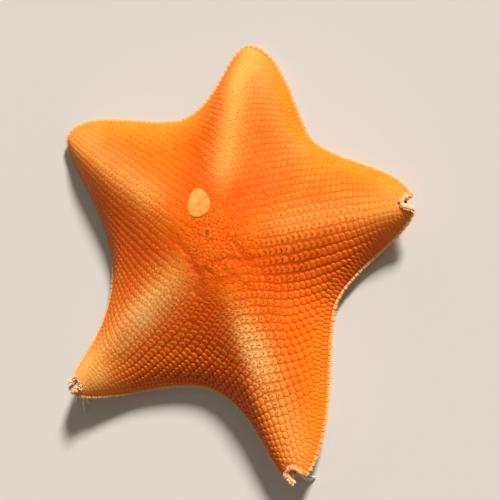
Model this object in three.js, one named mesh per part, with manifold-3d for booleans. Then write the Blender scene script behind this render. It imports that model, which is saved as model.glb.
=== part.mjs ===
// A bat star, the webbed five-armed sea star of tide pools, as a still life-size model.
// It lies flat on its underside with three arm tips curled up. Millimetres, +Z up, and the
// centre of its outline's box on the resting plane at the origin.
import * as THREE from "three";
import { mergeVertices } from "three/addons/utils/BufferGeometryUtils.js";
import Module from "manifold-3d";

const wasm = await Module();
wasm.setup();

// ---- Driving dimensions -------------------------------------------------------------------

// The arms, clockwise from the one that points along +Y. Azimuths are in degrees from +X.
// blunt gives the half-width of the rounded tip on its anticlockwise and its clockwise side.
const ARMS = [
  { azimuth: 84.5, reach: 56, blunt: [6, 10.5], lift: 0 },
  { azimuth: 10.5, reach: 57, blunt: [10.5, 5.5], lift: 6 },
  { azimuth: 289, reach: 68.5, blunt: [10.5, 9], lift: 5 },
  { azimuth: 220.8, reach: 65.3, blunt: [7, 5.5], lift: 6 },
  { azimuth: 149, reach: 63, blunt: [5.5, 10.5], lift: 0 },
];
// The webs between each arm and the next one clockwise. round is how long the inner curve
// runs before and after its deepest point.
const WEBS = [
  { azimuth: 49.5, radius: 37.5, round: [6, 11.5] },
  { azimuth: 334, radius: 35.5, round: [12.5, 10.5] },
  { azimuth: 258.5, radius: 41.5, round: [17, 12] },
  { azimuth: 187, radius: 39, round: [17, 17] },
  { azimuth: 112, radius: 39, round: [10, 12] },
];

const DISC_HEIGHT = 17.5; // crown of the disc above the resting plane
const RIM_TOP = 2.9; // upper edge of the margin
const RIM_BOTTOM = 1.1; // lower edge of the margin
const SHOULDER = 3.4; // steep part of the crown just inside the margin
const SHOULDER_POWER = 13; // how near the margin it is
const CROWN_FLAT = 0.1; // share of the way out over which the crown is flat
const DISC_RADIUS = 50; // of the round dome that the level lines near the centre belong to
const STAR_FROM = 0.7; // share of the way out where the level lines have taken the star's shape
const CREST_POWER = 1.33; // how full the body stands along an arm's crest
const WEB_POWER = 1.34; // and along the middle of a web
const FLAT_SHARE = 0.9; // share of each radius that lies flat underneath
const LIFT_FROM = 0.64; // share of an arm's reach where a curled tip leaves the plane

const FRINGE = [0.8, 0.25]; // how far the fringe stands out at its points and between them

const GROOVE_HALF = [2.1, 1.1]; // half-width of an arm's groove at the mouth and at the tip
const GROOVE_DEEP = [3.2, 1.5]; // its depth there
const MOUTH_RADIUS = 5.9;
const MOUTH_DEEP = 4.2;
const JAW = { inner: 1.9, outer: 5.3, halfWidth: 1.6, low: 0.3, high: 3.9 };

const FOOT = { stalk: 0.45, sucker: 0.7, collar: 0.6, clear: 0.5, apart: 1.0, pitch: 7, sides: 5 };

const TIP_LENGTH = 4.6; // of the separate end piece of each arm
const NOTCH = { length: 3.1, halfWidth: 1.0 }; // the open end of the groove in a curled tip
const EYESPOT_RADIUS = 0.75;

const MADREPORITE = { x: -4.1, y: 11.8, halfWide: 3.4, halfLong: 4.2, turn: 12, dome: 0.9, root: 1.3 };
const ANUS = { x: -0.5, y: 3.8, radius: 0.55, deep: 1.2 };

const CORNER_OUT = 4; // how far the corners of the disc stand outside the webs
const GAP = 0.3; // between neighbouring pieces
const SIDE_STEPS = 10; // outline steps along each side of an arm
const FRINGE_POINTS = 2; // points of the fringe in each of them
// Rings of the crown: share of the way out, and how many outline steps one of theirs spans.
const CROWN_RINGS = [[0.12, 4], [0.3, 2], [0.48, 1], [0.65, 1], [0.8, 1], [0.92, 1]];
const CURVE_SAMPLES = 400; // for looking up the outline by azimuth

// ---- Outline ------------------------------------------------------------------------------

const polar = (radius, degrees) =>
  new THREE.Vector2(Math.cos(THREE.MathUtils.degToRad(degrees)), Math.sin(THREE.MathUtils.degToRad(degrees)))
    .multiplyScalar(radius);
const clockwiseOf = (degrees) => polar(1, degrees - 90);

// The side of an arm from its tip to the web's deepest point, or back out again, clockwise.
function armSide(arm, web, outward) {
  const tip = polar(arm.reach, arm.azimuth);
  const deep = polar(web.radius, web.azimuth);
  const sign = outward ? -1 : 1;
  const nearTip = tip.clone().addScaledVector(clockwiseOf(arm.azimuth), sign * arm.blunt[outward ? 0 : 1]);
  const nearWeb = deep.clone().addScaledVector(clockwiseOf(web.azimuth), -sign * web.round[outward ? 1 : 0]);
  return outward
    ? new THREE.CubicBezierCurve(deep, nearWeb, nearTip, tip)
    : new THREE.CubicBezierCurve(tip, nearTip, nearWeb, deep);
}

const outline = new THREE.CurvePath();
ARMS.forEach((arm, k) => {
  outline.add(armSide(arm, WEBS[k], false));
  outline.add(armSide(ARMS[(k + 1) % ARMS.length], WEBS[k], true));
});

// Centre of the outline's box: the group is shifted by it, so that the origin is the box's.
const outlineBox = new THREE.Box2().setFromPoints(outline.getSpacedPoints(CURVE_SAMPLES * 4));
const outlineCentre = outlineBox.getCenter(new THREE.Vector2());

// ---- Body surface -------------------------------------------------------------------------

const angleBetween = (a, b) => Math.abs(THREE.MathUtils.euclideanModulo(a - b + 180, 360) - 180);
const azimuthOf = (p) => THREE.MathUtils.radToDeg(Math.atan2(p.y, p.x));
const nearest = (list, azimuth) =>
  list.reduce((best, one) => (angleBetween(one.azimuth, azimuth) < angleBetween(best.azimuth, azimuth) ? one : best));

// 1 on an arm's axis and 0 in the middle of a web.
function crestShare(point) {
  const azimuth = azimuthOf(point);
  const fromArm = angleBetween(azimuth, nearest(ARMS, azimuth).azimuth);
  const fromWeb = angleBetween(azimuth, nearest(WEBS, azimuth).azimuth);
  return 0.5 + 0.5 * Math.cos((Math.PI * fromArm) / (fromArm + fromWeb));
}

// How far a curled tip has risen at this point of the plane.
function liftAt(point) {
  const arm = nearest(ARMS, azimuthOf(point));
  const along = point.dot(polar(1, arm.azimuth)) / arm.reach;
  return arm.lift * Math.max(0, (along - LIFT_FROM) / (1 - LIFT_FROM)) ** 2;
}

// Height of the upper surface at a share of the way from the centre to an outline point.
function crownHeight(share, edge) {
  const power = THREE.MathUtils.lerp(WEB_POWER, CREST_POWER, crestShare(edge));
  const roundness = Math.max(0, 1 - share / STAR_FROM);
  const level = share * (edge.length() / DISC_RADIUS) ** roundness;
  const flattened = (t) => Math.hypot(t, CROWN_FLAT) - CROWN_FLAT;
  const fall = (flattened(level) / flattened(1)) ** power;
  const shoulder = SHOULDER * (1 - share ** SHOULDER_POWER);
  const dome = (DISC_HEIGHT - RIM_TOP - SHOULDER) * (1 - fall);
  return RIM_TOP + shoulder + dome + liftAt(edge.clone().multiplyScalar(share));
}

// Height of the underside: flat, then up to the rim.
function soleHeight(share, edge) {
  const rise = Math.max(0, (share - FLAT_SHARE) / (1 - FLAT_SHARE));
  return RIM_BOTTOM * rise ** 1.5 + liftAt(edge.clone().multiplyScalar(share));
}

// A closed mesh from a point, rings that run clockwise seen from that point, and a last point.
// Neighbouring rings can have different numbers of points.
function ringedGeometry(rings) {
  const index = [];
  let start = 0;
  for (let r = 0; r + 1 < rings.length; r++) {
    const [near, far] = [rings[r], rings[r + 1]];
    const at = (i) => start + (i % near.length);
    const beyond = (j) => start + near.length + (j % far.length);
    const [nearSteps, farSteps] = [near, far].map((ring) => (ring.length > 1 ? ring.length : 0));
    let i = 0;
    let j = 0;
    while (i < nearSteps || j < farSteps) {
      const alongNear = i < nearSteps && (j === farSteps || (i + 1) * farSteps <= (j + 1) * nearSteps);
      if (alongNear) index.push(at(i), at(++i), beyond(j));
      else index.push(at(i), beyond(j + 1), beyond(j++));
    }
    start += near.length;
  }
  const geometry = new THREE.BufferGeometry().setFromPoints(rings.flat());
  geometry.setIndex(index);
  return geometry;
}

// The outline's points, so many in each step.
const outlinePoints = (perStep) =>
  outline.curves.flatMap((side) => side.getSpacedPoints(SIDE_STEPS * perStep).slice(0, -1));

// The fringe's points and the notches between them, out from the margin.
function fringeRing() {
  const edges = outlinePoints(FRINGE_POINTS * 2);
  return edges.map((edge, i) => {
    const before = edges.at(i - 1);
    const after = edges[(i + 1) % edges.length];
    const along = after.clone().sub(before).normalize();
    const out = new THREE.Vector2(-along.y, along.x).multiplyScalar(FRINGE[i % 2]).add(edge);
    return new THREE.Vector3(out.x, out.y, (RIM_TOP + RIM_BOTTOM) / 2 + liftAt(edge));
  });
}

function bodyGeometry() {
  const edges = outlinePoints(1);
  const ring = (share, height, every = 1) =>
    edges
      .filter((_, i) => i % every === 0)
      .map((edge) => new THREE.Vector3(edge.x * share, edge.y * share, height(share, edge)));
  return ringedGeometry([
    [new THREE.Vector3(0, 0, DISC_HEIGHT)],
    ...CROWN_RINGS.map(([share, every]) => ring(share, crownHeight, every)),
    ring(1, crownHeight),
    fringeRing(),
    ring(1, soleHeight),
    ring(FLAT_SHARE, soleHeight),
    ring(LIFT_FROM, soleHeight, 2),
    [new THREE.Vector3(0, 0, 0)],
  ]);
}

// ---- Solids -------------------------------------------------------------------------------

function solidOf(geometry) {
  const bare = geometry.clone();
  bare.deleteAttribute("normal");
  bare.deleteAttribute("uv");
  const merged = mergeVertices(bare, 1e-4);
  return new wasm.Manifold(
    new wasm.Mesh({
      numProp: 3,
      vertProperties: new Float32Array(merged.attributes.position.array),
      triVerts: new Uint32Array(merged.index.array),
    }),
  );
}

function geometryOf(solid) {
  const mesh = solid.getMesh();
  const geometry = new THREE.BufferGeometry();
  geometry.setAttribute("position", new THREE.BufferAttribute(new Float32Array(mesh.vertProperties), 3));
  geometry.setIndex(new THREE.BufferAttribute(new Uint32Array(mesh.triVerts), 1));
  const facets = geometry.toNonIndexed();
  facets.computeVertexNormals();
  return facets;
}

// ---- Underside: grooves, mouth and tube feet --------------------------------------------------

// Places a geometry made along +X from the disc's centre along an arm.
const alongArm = (geometry, arm) => geometry.rotateZ(THREE.MathUtils.degToRad(arm.azimuth));

const grooveShare = (arm, along) => THREE.MathUtils.clamp(along / arm.reach, 0, 1);
const armLift = (arm, along) => liftAt(polar(along, arm.azimuth));

function grooveGeometry(arm) {
  const stations = [1, 0.2, 0.45, 0.7, 0.8, 0.9, 1.05].map((share, i) => (i ? share * arm.reach : share));
  const arch = [1, 0.8, 0, -0.8, -1]; // across the roof
  const rings = stations.map((along) => {
    const share = grooveShare(arm, along);
    const half = THREE.MathUtils.lerp(...GROOVE_HALF, share);
    const deep = THREE.MathUtils.lerp(...GROOVE_DEEP, share);
    const base = armLift(arm, along);
    const roof = arch.map((v) => new THREE.Vector3(along, v * half, base + deep * (1 - 0.45 * v ** 2)));
    return [...roof, new THREE.Vector3(along, -half, -2), new THREE.Vector3(along, half, -2)];
  });
  const ends = [rings[0], rings.at(-1)].map((ring) =>
    ring.reduce((sum, p) => sum.add(p), new THREE.Vector3()).divideScalar(ring.length),
  );
  return alongArm(ringedGeometry([[ends[0]], ...rings, [ends[1]]]), arm);
}

function footGeometry(x, y, top, bottom) {
  const profile = [
    [0, bottom], [FOOT.sucker, bottom], [FOOT.stalk, bottom + FOOT.collar], [FOOT.stalk, top], [0, top],
  ].map(([r, z]) => new THREE.Vector2(r, z));
  return new THREE.LatheGeometry(profile, FOOT.sides).rotateX(Math.PI / 2).translate(x, y, 0);
}

// Two rows of feet along a groove, with none where the arm is cut from the disc or its tip.
function tubeFeet(arm, cuts) {
  const feet = [];
  const first = MOUTH_RADIUS + 2;
  const last = arm.reach * 0.86;
  for (let along = first; along < last; along += FOOT.pitch)
    for (const side of [-1, 1]) {
      const share = grooveShare(arm, along);
      const x = along + (side * FOOT.pitch) / 4;
      const y = side * FOOT.apart * THREE.MathUtils.lerp(1, 0.6, share);
      if (cuts.some((cut) => Math.abs(x - cut) < FOOT.sucker + 2 * GAP)) continue;
      const base = armLift(arm, x);
      const roof = base + THREE.MathUtils.lerp(...GROOVE_DEEP, share);
      feet.push(solidOf(alongArm(footGeometry(x, y, roof + 0.4, base + FOOT.clear), arm)));
    }
  return feet;
}

function jawGeometry(web) {
  const { inner, outer, halfWidth, low, high } = JAW;
  const shape = new THREE.Shape();
  shape.moveTo(inner, 0);
  shape.quadraticCurveTo(inner + 0.6, -halfWidth, outer, -halfWidth);
  shape.lineTo(outer, halfWidth);
  shape.quadraticCurveTo(inner + 0.6, halfWidth, inner, 0);
  const geometry = new THREE.ExtrudeGeometry(shape, { depth: high - low, bevelEnabled: false, curveSegments: 4 });
  return geometry.translate(0, 0, low).rotateZ(THREE.MathUtils.degToRad(web.azimuth));
}

function mouthGeometry() {
  return new THREE.CylinderGeometry(MOUTH_RADIUS, MOUTH_RADIUS, MOUTH_DEEP + 2, 20)
    .rotateX(Math.PI / 2)
    .translate(0, 0, (MOUTH_DEEP - 2) / 2);
}

// ---- Upper side: madreporite and anus -----------------------------------------------------------

// The share of the way from the centre to the outline, and the outline point, beyond a point.
function rayThrough(point) {
  const azimuth = azimuthOf(point);
  const edges = outline.getSpacedPoints(CURVE_SAMPLES);
  const edge = edges.reduce((best, e) =>
    angleBetween(azimuthOf(e), azimuth) < angleBetween(azimuthOf(best), azimuth) ? e : best,
  );
  return [point.length() / edge.length(), edge];
}
const crownAt = (x, y) => crownHeight(...rayThrough(new THREE.Vector2(x, y)));

function crownNormal(x, y, step = 1.5) {
  const slopeX = (crownAt(x + step, y) - crownAt(x - step, y)) / (2 * step);
  const slopeY = (crownAt(x, y + step) - crownAt(x, y - step)) / (2 * step);
  return new THREE.Vector3(-slopeX, -slopeY, 1).normalize();
}

// A low egg-shaped dome with straight sides below, standing square to the crown.
function madreporiteGeometry(grow) {
  const { x, y, halfWide, halfLong, turn, dome, root } = MADREPORITE;
  const profile = [
    [0, -root - grow], [1, -root - grow], [1, 0.1], [0.9, 0.3], [0.6, dome * 0.85], [0, dome],
  ].map(([r, z]) => new THREE.Vector2(r, z));
  const geometry = new THREE.LatheGeometry(profile, 20).rotateX(Math.PI / 2);
  const position = geometry.attributes.position;
  for (let i = 0; i < position.count; i++) {
    const narrowing = 1 - 0.12 * position.getY(i); // narrower away from the disc's centre
    position.setX(i, position.getX(i) * narrowing);
  }
  geometry.scale(halfWide + grow, halfLong + grow, 1).rotateZ(THREE.MathUtils.degToRad(turn));
  const upright = new THREE.Quaternion().setFromUnitVectors(new THREE.Vector3(0, 0, 1), crownNormal(x, y));
  return geometry.applyQuaternion(upright).translate(x, y, crownAt(x, y) - 0.15);
}

function anusGeometry() {
  return new THREE.CylinderGeometry(ANUS.radius * 1.4, ANUS.radius * 0.6, ANUS.deep * 2, 8)
    .rotateX(Math.PI / 2)
    .translate(ANUS.x, ANUS.y, crownAt(ANUS.x, ANUS.y));
}

// ---- Tips ---------------------------------------------------------------------------------------

const SLAB = 60; // larger than anything that a cutting block has to reach

// A block that covers what lies beyond a line across an arm, at a distance from the centre.
function blockBeyond(from, to, shift) {
  const along = to.clone().sub(from);
  const outward = new THREE.Vector2(-along.y, along.x).normalize();
  const middle = from.clone().add(to).multiplyScalar(0.5).addScaledVector(outward, SLAB / 2 + shift);
  const block = new THREE.BoxGeometry(along.length(), SLAB, SLAB);
  return block.rotateZ(Math.atan2(along.y, along.x)).translate(middle.x, middle.y, 0);
}

// The same across an arm's end, square to the arm.
function blockBeyondTipCut(arm, shift) {
  const middle = polar(arm.reach - TIP_LENGTH, arm.azimuth);
  const across = clockwiseOf(arm.azimuth).multiplyScalar(SLAB / 2);
  return blockBeyond(middle.clone().sub(across), middle.clone().add(across), shift);
}

function notchGeometry(arm) {
  const { length, halfWidth } = NOTCH;
  const start = arm.reach - length;
  const shape = new THREE.Shape();
  shape.moveTo(start + halfWidth * 0.7, -halfWidth * 0.7);
  shape.quadraticCurveTo(start - halfWidth * 0.2, 0, start + halfWidth * 0.7, halfWidth * 0.7);
  shape.lineTo(arm.reach + 3, halfWidth * 1.3);
  shape.lineTo(arm.reach + 3, -halfWidth * 1.3);
  shape.closePath();
  return alongArm(new THREE.ExtrudeGeometry(shape, { depth: SLAB, bevelEnabled: false, curveSegments: 4 }), arm);
}

// The red eyespot: on a curled tip in the end of the notch, otherwise under the tip's edge.
function eyespotGeometry(arm, grow) {
  const curled = arm.lift > 0;
  const along = curled ? arm.reach - NOTCH.length + 0.75 : arm.reach - 1.1;
  const height = armLift(arm, along) + (curled ? 2.3 : 1.0);
  const ball = new THREE.SphereGeometry(EYESPOT_RADIUS + grow, 8, 5);
  return alongArm(ball.translate(along, 0, height), arm);
}

// ---- Assembly -------------------------------------------------------------------------------------

const materials = {
  skin: new THREE.MeshStandardMaterial({ color: 0xf5731a, roughness: 0.62, metalness: 0 }),
  pale: new THREE.MeshStandardMaterial({ color: 0xeed0a4, roughness: 0.6, metalness: 0 }),
  madreporite: new THREE.MeshStandardMaterial({ color: 0xf2ab58, roughness: 0.5, metalness: 0 }),
  eyespot: new THREE.MeshStandardMaterial({ color: 0xb8330c, roughness: 0.35, metalness: 0 }),
};

const star = new THREE.Group();
star.position.set(-outlineCentre.x, -outlineCentre.y, 0);

function addNode(name, solid, material) {
  const mesh = new THREE.Mesh(geometryOf(solid), material);
  mesh.name = name;
  star.add(mesh);
}

const hollows = [
  ...ARMS.map((arm) => grooveGeometry(arm)),
  ...ARMS.filter((arm) => arm.lift > 0).map((arm) => notchGeometry(arm)),
  ...ARMS.map((arm) => eyespotGeometry(arm, GAP)),
  mouthGeometry(),
  madreporiteGeometry(GAP),
  anusGeometry(),
].map(solidOf);

// The disc is the pentagon whose corners stand outside the webs.
const corners = WEBS.map((web) => polar(web.radius + CORNER_OUT, web.azimuth));
const discSides = ARMS.map((arm, k) => [corners[(k + WEBS.length - 1) % WEBS.length], corners[k]]);

// How far from the centre an arm's axis meets the disc's side and the cut across its end.
function cutsAlong(arm, [from, to]) {
  const axis = polar(1, arm.azimuth);
  const side = to.clone().sub(from);
  return [from.cross(side) / axis.cross(side), arm.reach - TIP_LENGTH];
}

let whole = solidOf(bodyGeometry());
for (const hollow of hollows) whole = whole.subtract(hollow);
for (const foot of ARMS.flatMap((arm, k) => tubeFeet(arm, cutsAlong(arm, discSides[k])))) whole = whole.add(foot);

let disc = whole;
ARMS.forEach((arm, k) => {
  const blocks = [0, GAP].map((shift) => solidOf(blockBeyond(...discSides[k], shift)));
  const tips = [0, GAP].map((shift) => solidOf(blockBeyondTipCut(arm, shift)));
  const beyond = whole.intersect(blocks[1]);
  disc = disc.subtract(blocks[0]);
  addNode(`arm_${k + 1}`, beyond.subtract(tips[0]), materials.skin);
  addNode(`arm_tip_${k + 1}`, beyond.intersect(tips[1]), materials.pale);
  addNode(`eyespot_${k + 1}`, solidOf(eyespotGeometry(arm, 0)), materials.eyespot);
  addNode(`jaw_${k + 1}`, solidOf(jawGeometry(WEBS[k])), materials.pale);
});
addNode("disc", disc, materials.skin);
addNode("madreporite", solidOf(madreporiteGeometry(0)), materials.madreporite);

export default star;
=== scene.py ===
"""A bat star as a museum shows it: one skin under plates, scales and spinelets of mesh.

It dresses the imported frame. Shapes are worked out in millimetres in star coordinates, whose
origin is where the arms' axes meet on the resting plane, and placed() turns them into metres
in the frame, whose origin is the centre of the outline's box.
"""
import math

import bpy
import numpy as np
from mathutils import Matrix, Vector, kdtree


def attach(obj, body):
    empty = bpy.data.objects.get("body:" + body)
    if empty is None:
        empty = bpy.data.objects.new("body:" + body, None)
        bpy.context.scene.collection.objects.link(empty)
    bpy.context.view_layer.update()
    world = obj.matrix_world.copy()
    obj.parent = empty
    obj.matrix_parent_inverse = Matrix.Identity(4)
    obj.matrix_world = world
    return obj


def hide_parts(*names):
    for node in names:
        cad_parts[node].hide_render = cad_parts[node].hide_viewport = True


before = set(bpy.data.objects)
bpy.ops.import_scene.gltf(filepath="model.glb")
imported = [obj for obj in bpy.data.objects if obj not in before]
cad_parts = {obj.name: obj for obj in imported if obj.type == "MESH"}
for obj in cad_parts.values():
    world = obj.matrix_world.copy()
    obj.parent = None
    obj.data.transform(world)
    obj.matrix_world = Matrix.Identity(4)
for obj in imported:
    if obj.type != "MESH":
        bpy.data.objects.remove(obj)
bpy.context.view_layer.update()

rng = np.random.default_rng(7)

# ---- Driving dimensions, the same as the solids' ----

# The arms, clockwise from the one that points along +Y. Azimuths are in degrees from +X.
# blunt gives the half-width of the rounded tip on its anticlockwise and its clockwise side.
ARMS = [
    {"azimuth": 84.5, "reach": 56, "blunt": (6, 10.5), "lift": 0},
    {"azimuth": 10.5, "reach": 57, "blunt": (10.5, 5.5), "lift": 6},
    {"azimuth": 289, "reach": 68.5, "blunt": (10.5, 9), "lift": 5},
    {"azimuth": 220.8, "reach": 65.3, "blunt": (7, 5.5), "lift": 6},
    {"azimuth": 149, "reach": 63, "blunt": (5.5, 10.5), "lift": 0},
]
# The webs between each arm and the next one clockwise. round is how long the inner curve
# runs before and after its deepest point.
WEBS = [
    {"azimuth": 49.5, "radius": 37.5, "round": (6, 11.5)},
    {"azimuth": 334, "radius": 35.5, "round": (12.5, 10.5)},
    {"azimuth": 258.5, "radius": 41.5, "round": (17, 12)},
    {"azimuth": 187, "radius": 39, "round": (17, 17)},
    {"azimuth": 112, "radius": 39, "round": (10, 12)},
]
DISC_HEIGHT = 17.5  # crown of the disc above the resting plane
RIM_TOP = 2.9  # upper edge of the margin
RIM_BOTTOM = 1.1  # lower edge of the margin
SHOULDER = 3.4  # steep part of the crown just inside the margin
SHOULDER_POWER = 13  # how near the margin it is
CROWN_FLAT = 0.1  # share of the way out over which the crown is flat
DISC_RADIUS = 50  # of the round dome that the level lines near the centre belong to
STAR_FROM = 0.7  # share of the way out where the level lines have taken the star's shape
CREST_POWER = 1.33  # how full the body stands along an arm's crest
WEB_POWER = 1.34  # and along the middle of a web
FLAT_SHARE = 0.9  # share of each radius that lies flat underneath
LIFT_FROM = 0.64  # share of an arm's reach where a curled tip leaves the plane
GROOVE_HALF = (2.1, 1.1)  # half-width of an arm's groove at the mouth and at the tip
GROOVE_DEEP = (3.2, 1.5)  # its depth there
MOUTH_RADIUS = 5.9
MOUTH_DEEP = 4.2
NOTCH = {"length": 3.1, "half_width": 1.0}  # the open end of the groove in a curled tip
EYESPOT_RADIUS = 0.75
MADREPORITE = {"x": -4.1, "y": 11.8, "half_wide": 3.4, "half_long": 4.2, "turn": 12, "dome": 0.9}
ANUS = {"x": -0.5, "y": 3.8, "radius": 0.55}

JAW = {"inner": 1.9, "outer": 5.3, "half_width": 1.6, "low": 0.3, "high": 3.9}
# The tube feet: radius of the stalk, distance of their soles from the groove's axis, distance
# between neighbours in a row, and height of the soles above the resting plane.
FOOT = {"stalk": 0.45, "apart": 1.0, "pitch": 2.1, "clear": 0.25}

COAT_DEPTH = 0.28  # how far the skin lies inside the solids
SOLE_DEPTH = 0.75  # the same underneath, where it leaves room for plates and spinelets
SKIN_INSET = 0.5  # how far its margin does

# ---- Small helpers ----


def smoothstep(low, high, value):
    """0 up to low and 1 from high on, or the other way round if low is the greater."""
    t = np.clip((value - low) / (high - low), 0, 1)
    return t * t * (3 - 2 * t)


def lerp(a, b, t):
    return a + (b - a) * t


def bell(value, width):
    """1 where the value is 0, and falling off to both sides."""
    return np.exp(-((value / width) ** 2))


def unit(degrees):
    """Unit vectors in the plane at azimuths in degrees."""
    radians = np.radians(degrees)
    return np.stack([np.cos(radians), np.sin(radians)], axis=-1)


def turned(vectors):
    """Vectors of the plane turned a quarter turn anticlockwise."""
    return np.stack([-vectors[..., 1], vectors[..., 0]], axis=-1)


def normalized(vectors):
    return vectors / np.maximum(np.linalg.norm(vectors, axis=-1, keepdims=True), 1e-9)


def turned_by(vectors, degrees):
    """Each vector of the plane turned by its own angle."""
    turn = np.radians(degrees)
    return vectors * np.cos(turn)[:, None] + turned(vectors) * np.sin(turn)[:, None]


def rotation(degrees):
    """Turns points anticlockwise about the vertical."""
    cos, sin = math.cos(math.radians(degrees)), math.sin(math.radians(degrees))
    return np.array([[cos, -sin, 0], [sin, cos, 0], [0, 0, 1]])


def ring_turns(sides):
    """Angles in radians of a ring's points."""
    return 2 * np.pi * np.arange(sides) / sides


def chosen_of(values, use):
    """The named values of some of the points."""
    return {key: value[use] for key, value in values.items()}


# ---- Outline ----

SIDE_SAMPLES = 400  # points along each side of an arm


def bezier(a, b, c, d):
    """Points of a cubic curve, without its end."""
    t = np.linspace(0, 1, SIDE_SAMPLES, endpoint=False)[:, None]
    return (1 - t) ** 3 * a + 3 * (1 - t) ** 2 * t * b + 3 * (1 - t) * t**2 * c + t**3 * d


def outline():
    """The margin seen from above, clockwise from the first arm's tip."""
    sides = []
    for k, (arm, web) in enumerate(zip(ARMS, WEBS)):
        after = ARMS[(k + 1) % len(ARMS)]
        tip = unit(arm["azimuth"]) * arm["reach"]
        deep = unit(web["azimuth"]) * web["radius"]
        next_tip = unit(after["azimuth"]) * after["reach"]
        clockwise, web_clockwise, next_clockwise = (
            -turned(unit(part["azimuth"])) for part in (arm, web, after)
        )
        before_web = deep - web_clockwise * web["round"][0]
        after_web = deep + web_clockwise * web["round"][1]
        sides.append(bezier(tip, tip + clockwise * arm["blunt"][1], before_web, deep))
        sides.append(bezier(deep, after_web, next_tip - next_clockwise * after["blunt"][0], next_tip))
    return np.concatenate(sides)


EDGE = outline()
EDGE_AZIMUTH = np.degrees(np.arctan2(EDGE[:, 1], EDGE[:, 0]))
EDGE_RADIUS = np.linalg.norm(EDGE, axis=1)
EDGE_ALONG = np.concatenate([[0], np.cumsum(np.linalg.norm(np.roll(EDGE, -1, 0) - EDGE, axis=1))])
PERIMETER = EDGE_ALONG[-1]
CENTRE = (EDGE.min(0) + EDGE.max(0)) / 2  # of the outline's box


def edge_points(at, knots):
    """Points of the closed margin, looked up by one number for each of its corners."""
    closed = np.concatenate([EDGE, EDGE[:1]])
    return np.stack([np.interp(at, knots, column) for column in closed.T], axis=-1)


def edge_at(along):
    """Points of the margin at distances along it, and the directions out of it."""
    along = np.mod(along, PERIMETER)
    point = edge_points(along, EDGE_ALONG)
    ahead = edge_points(np.mod(along + 0.2, PERIMETER), EDGE_ALONG)
    return point, turned(normalized(ahead - point))


def radius_at(azimuth):
    """Distance of the margin from the origin."""
    return np.interp(azimuth, EDGE_AZIMUTH, EDGE_RADIUS, period=360)


def azimuth_of(x, y):
    return np.degrees(np.arctan2(y, x))


def turn_between(a, b):
    """Signed turn in degrees from azimuth b to azimuth a."""
    return np.mod(a - b + 180, 360) - 180


def turns_from(azimuth, parts):
    """Unsigned turns in degrees from the arms or the webs to an azimuth."""
    return [np.abs(turn_between(azimuth, part["azimuth"])) for part in parts]


def nearest_arm(x, y):
    return np.argmin(turns_from(azimuth_of(x, y), ARMS), axis=0)


def round_table(x, y, table):
    """A table's values by azimuth, looked up at each point's azimuth."""
    return np.interp(azimuth_of(x, y), list(table), list(table.values()), period=360)


def table_of(parts, values):
    """A table with one value for each arm or web."""
    return {part["azimuth"]: value for part, value in zip(parts, values)}


def arm_frame(x, y):
    """The arm that owns each point, by the middles of the webs, and how far along and across it is."""
    azimuth = azimuth_of(x, y)
    owner = np.zeros(np.shape(x), int)
    for k in range(len(ARMS)):
        low, high = WEBS[k]["azimuth"], WEBS[k - 1]["azimuth"]
        owner = np.where(np.mod(azimuth - low, 360) < np.mod(high - low, 360), k, owner)
    axis = unit(of_arm(owner, "azimuth"))
    return owner, x * axis[..., 0] + y * axis[..., 1], y * axis[..., 0] - x * axis[..., 1]


def of_arm(owner, key):
    """Each point's value of a dimension of its arm."""
    return np.array([arm[key] for arm in ARMS], float)[owner]


def on_axis(arm, along, across=0.0):
    """Point of the plane at distances along and across an arm's axis."""
    axis = unit(arm["azimuth"])
    return axis * along + turned(axis) * across


def tree_of(points):
    """The points, kept for finding the nearest ones."""
    tree = kdtree.KDTree(len(points))
    for i, (x, y) in enumerate(points):
        tree.insert((x, y, 0), i)
    tree.balance()
    return tree


class MarginDistance:
    """Distance inside the margin, looked up in a square grid of its values."""

    STEP = 0.5

    def __init__(self):
        self.low = EDGE.min(0) - 2 * self.STEP
        counts = np.ceil((EDGE.max(0) + 2 * self.STEP - self.low) / self.STEP).astype(int)
        tree = tree_of(EDGE)
        x, y = (self.low[i] + self.STEP * np.arange(counts[i]) for i in (0, 1))
        far = np.array([[tree.find((a, b, 0))[2] for b in y] for a in x])
        a, b = np.meshgrid(x, y, indexing="ij")
        self.values = np.where(np.hypot(a, b) < radius_at(azimuth_of(a, b)), far, -far)

    def __call__(self, x, y):
        cell = [(value - low) / self.STEP for value, low in zip((x, y), self.low)]
        start = [np.clip(c.astype(int), 0, n - 2) for c, n in zip(cell, self.values.shape)]
        s, t = (np.clip(c - i, 0, 1) for c, i in zip(cell, start))
        i, j = start
        v = self.values
        return lerp(lerp(v[i, j], v[i + 1, j], s), lerp(v[i, j + 1], v[i + 1, j + 1], s), t)


margin_distance = MarginDistance()

# ---- Body surface ----


def crest_share(azimuth):
    """1 on an arm's axis and 0 in the middle of a web."""
    to_arm, to_web = (np.min(turns_from(azimuth, parts), axis=0) for parts in (ARMS, WEBS))
    return 0.5 + 0.5 * np.cos(np.pi * to_arm / (to_arm + to_web))


def lift_at(x, y):
    """How far a curled tip has risen at a point of the plane."""
    arm = nearest_arm(x, y)
    axis = unit(of_arm(arm, "azimuth"))
    share = (x * axis[..., 0] + y * axis[..., 1]) / of_arm(arm, "reach")
    return of_arm(arm, "lift") * np.maximum(0, (share - LIFT_FROM) / (1 - LIFT_FROM)) ** 2


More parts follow.
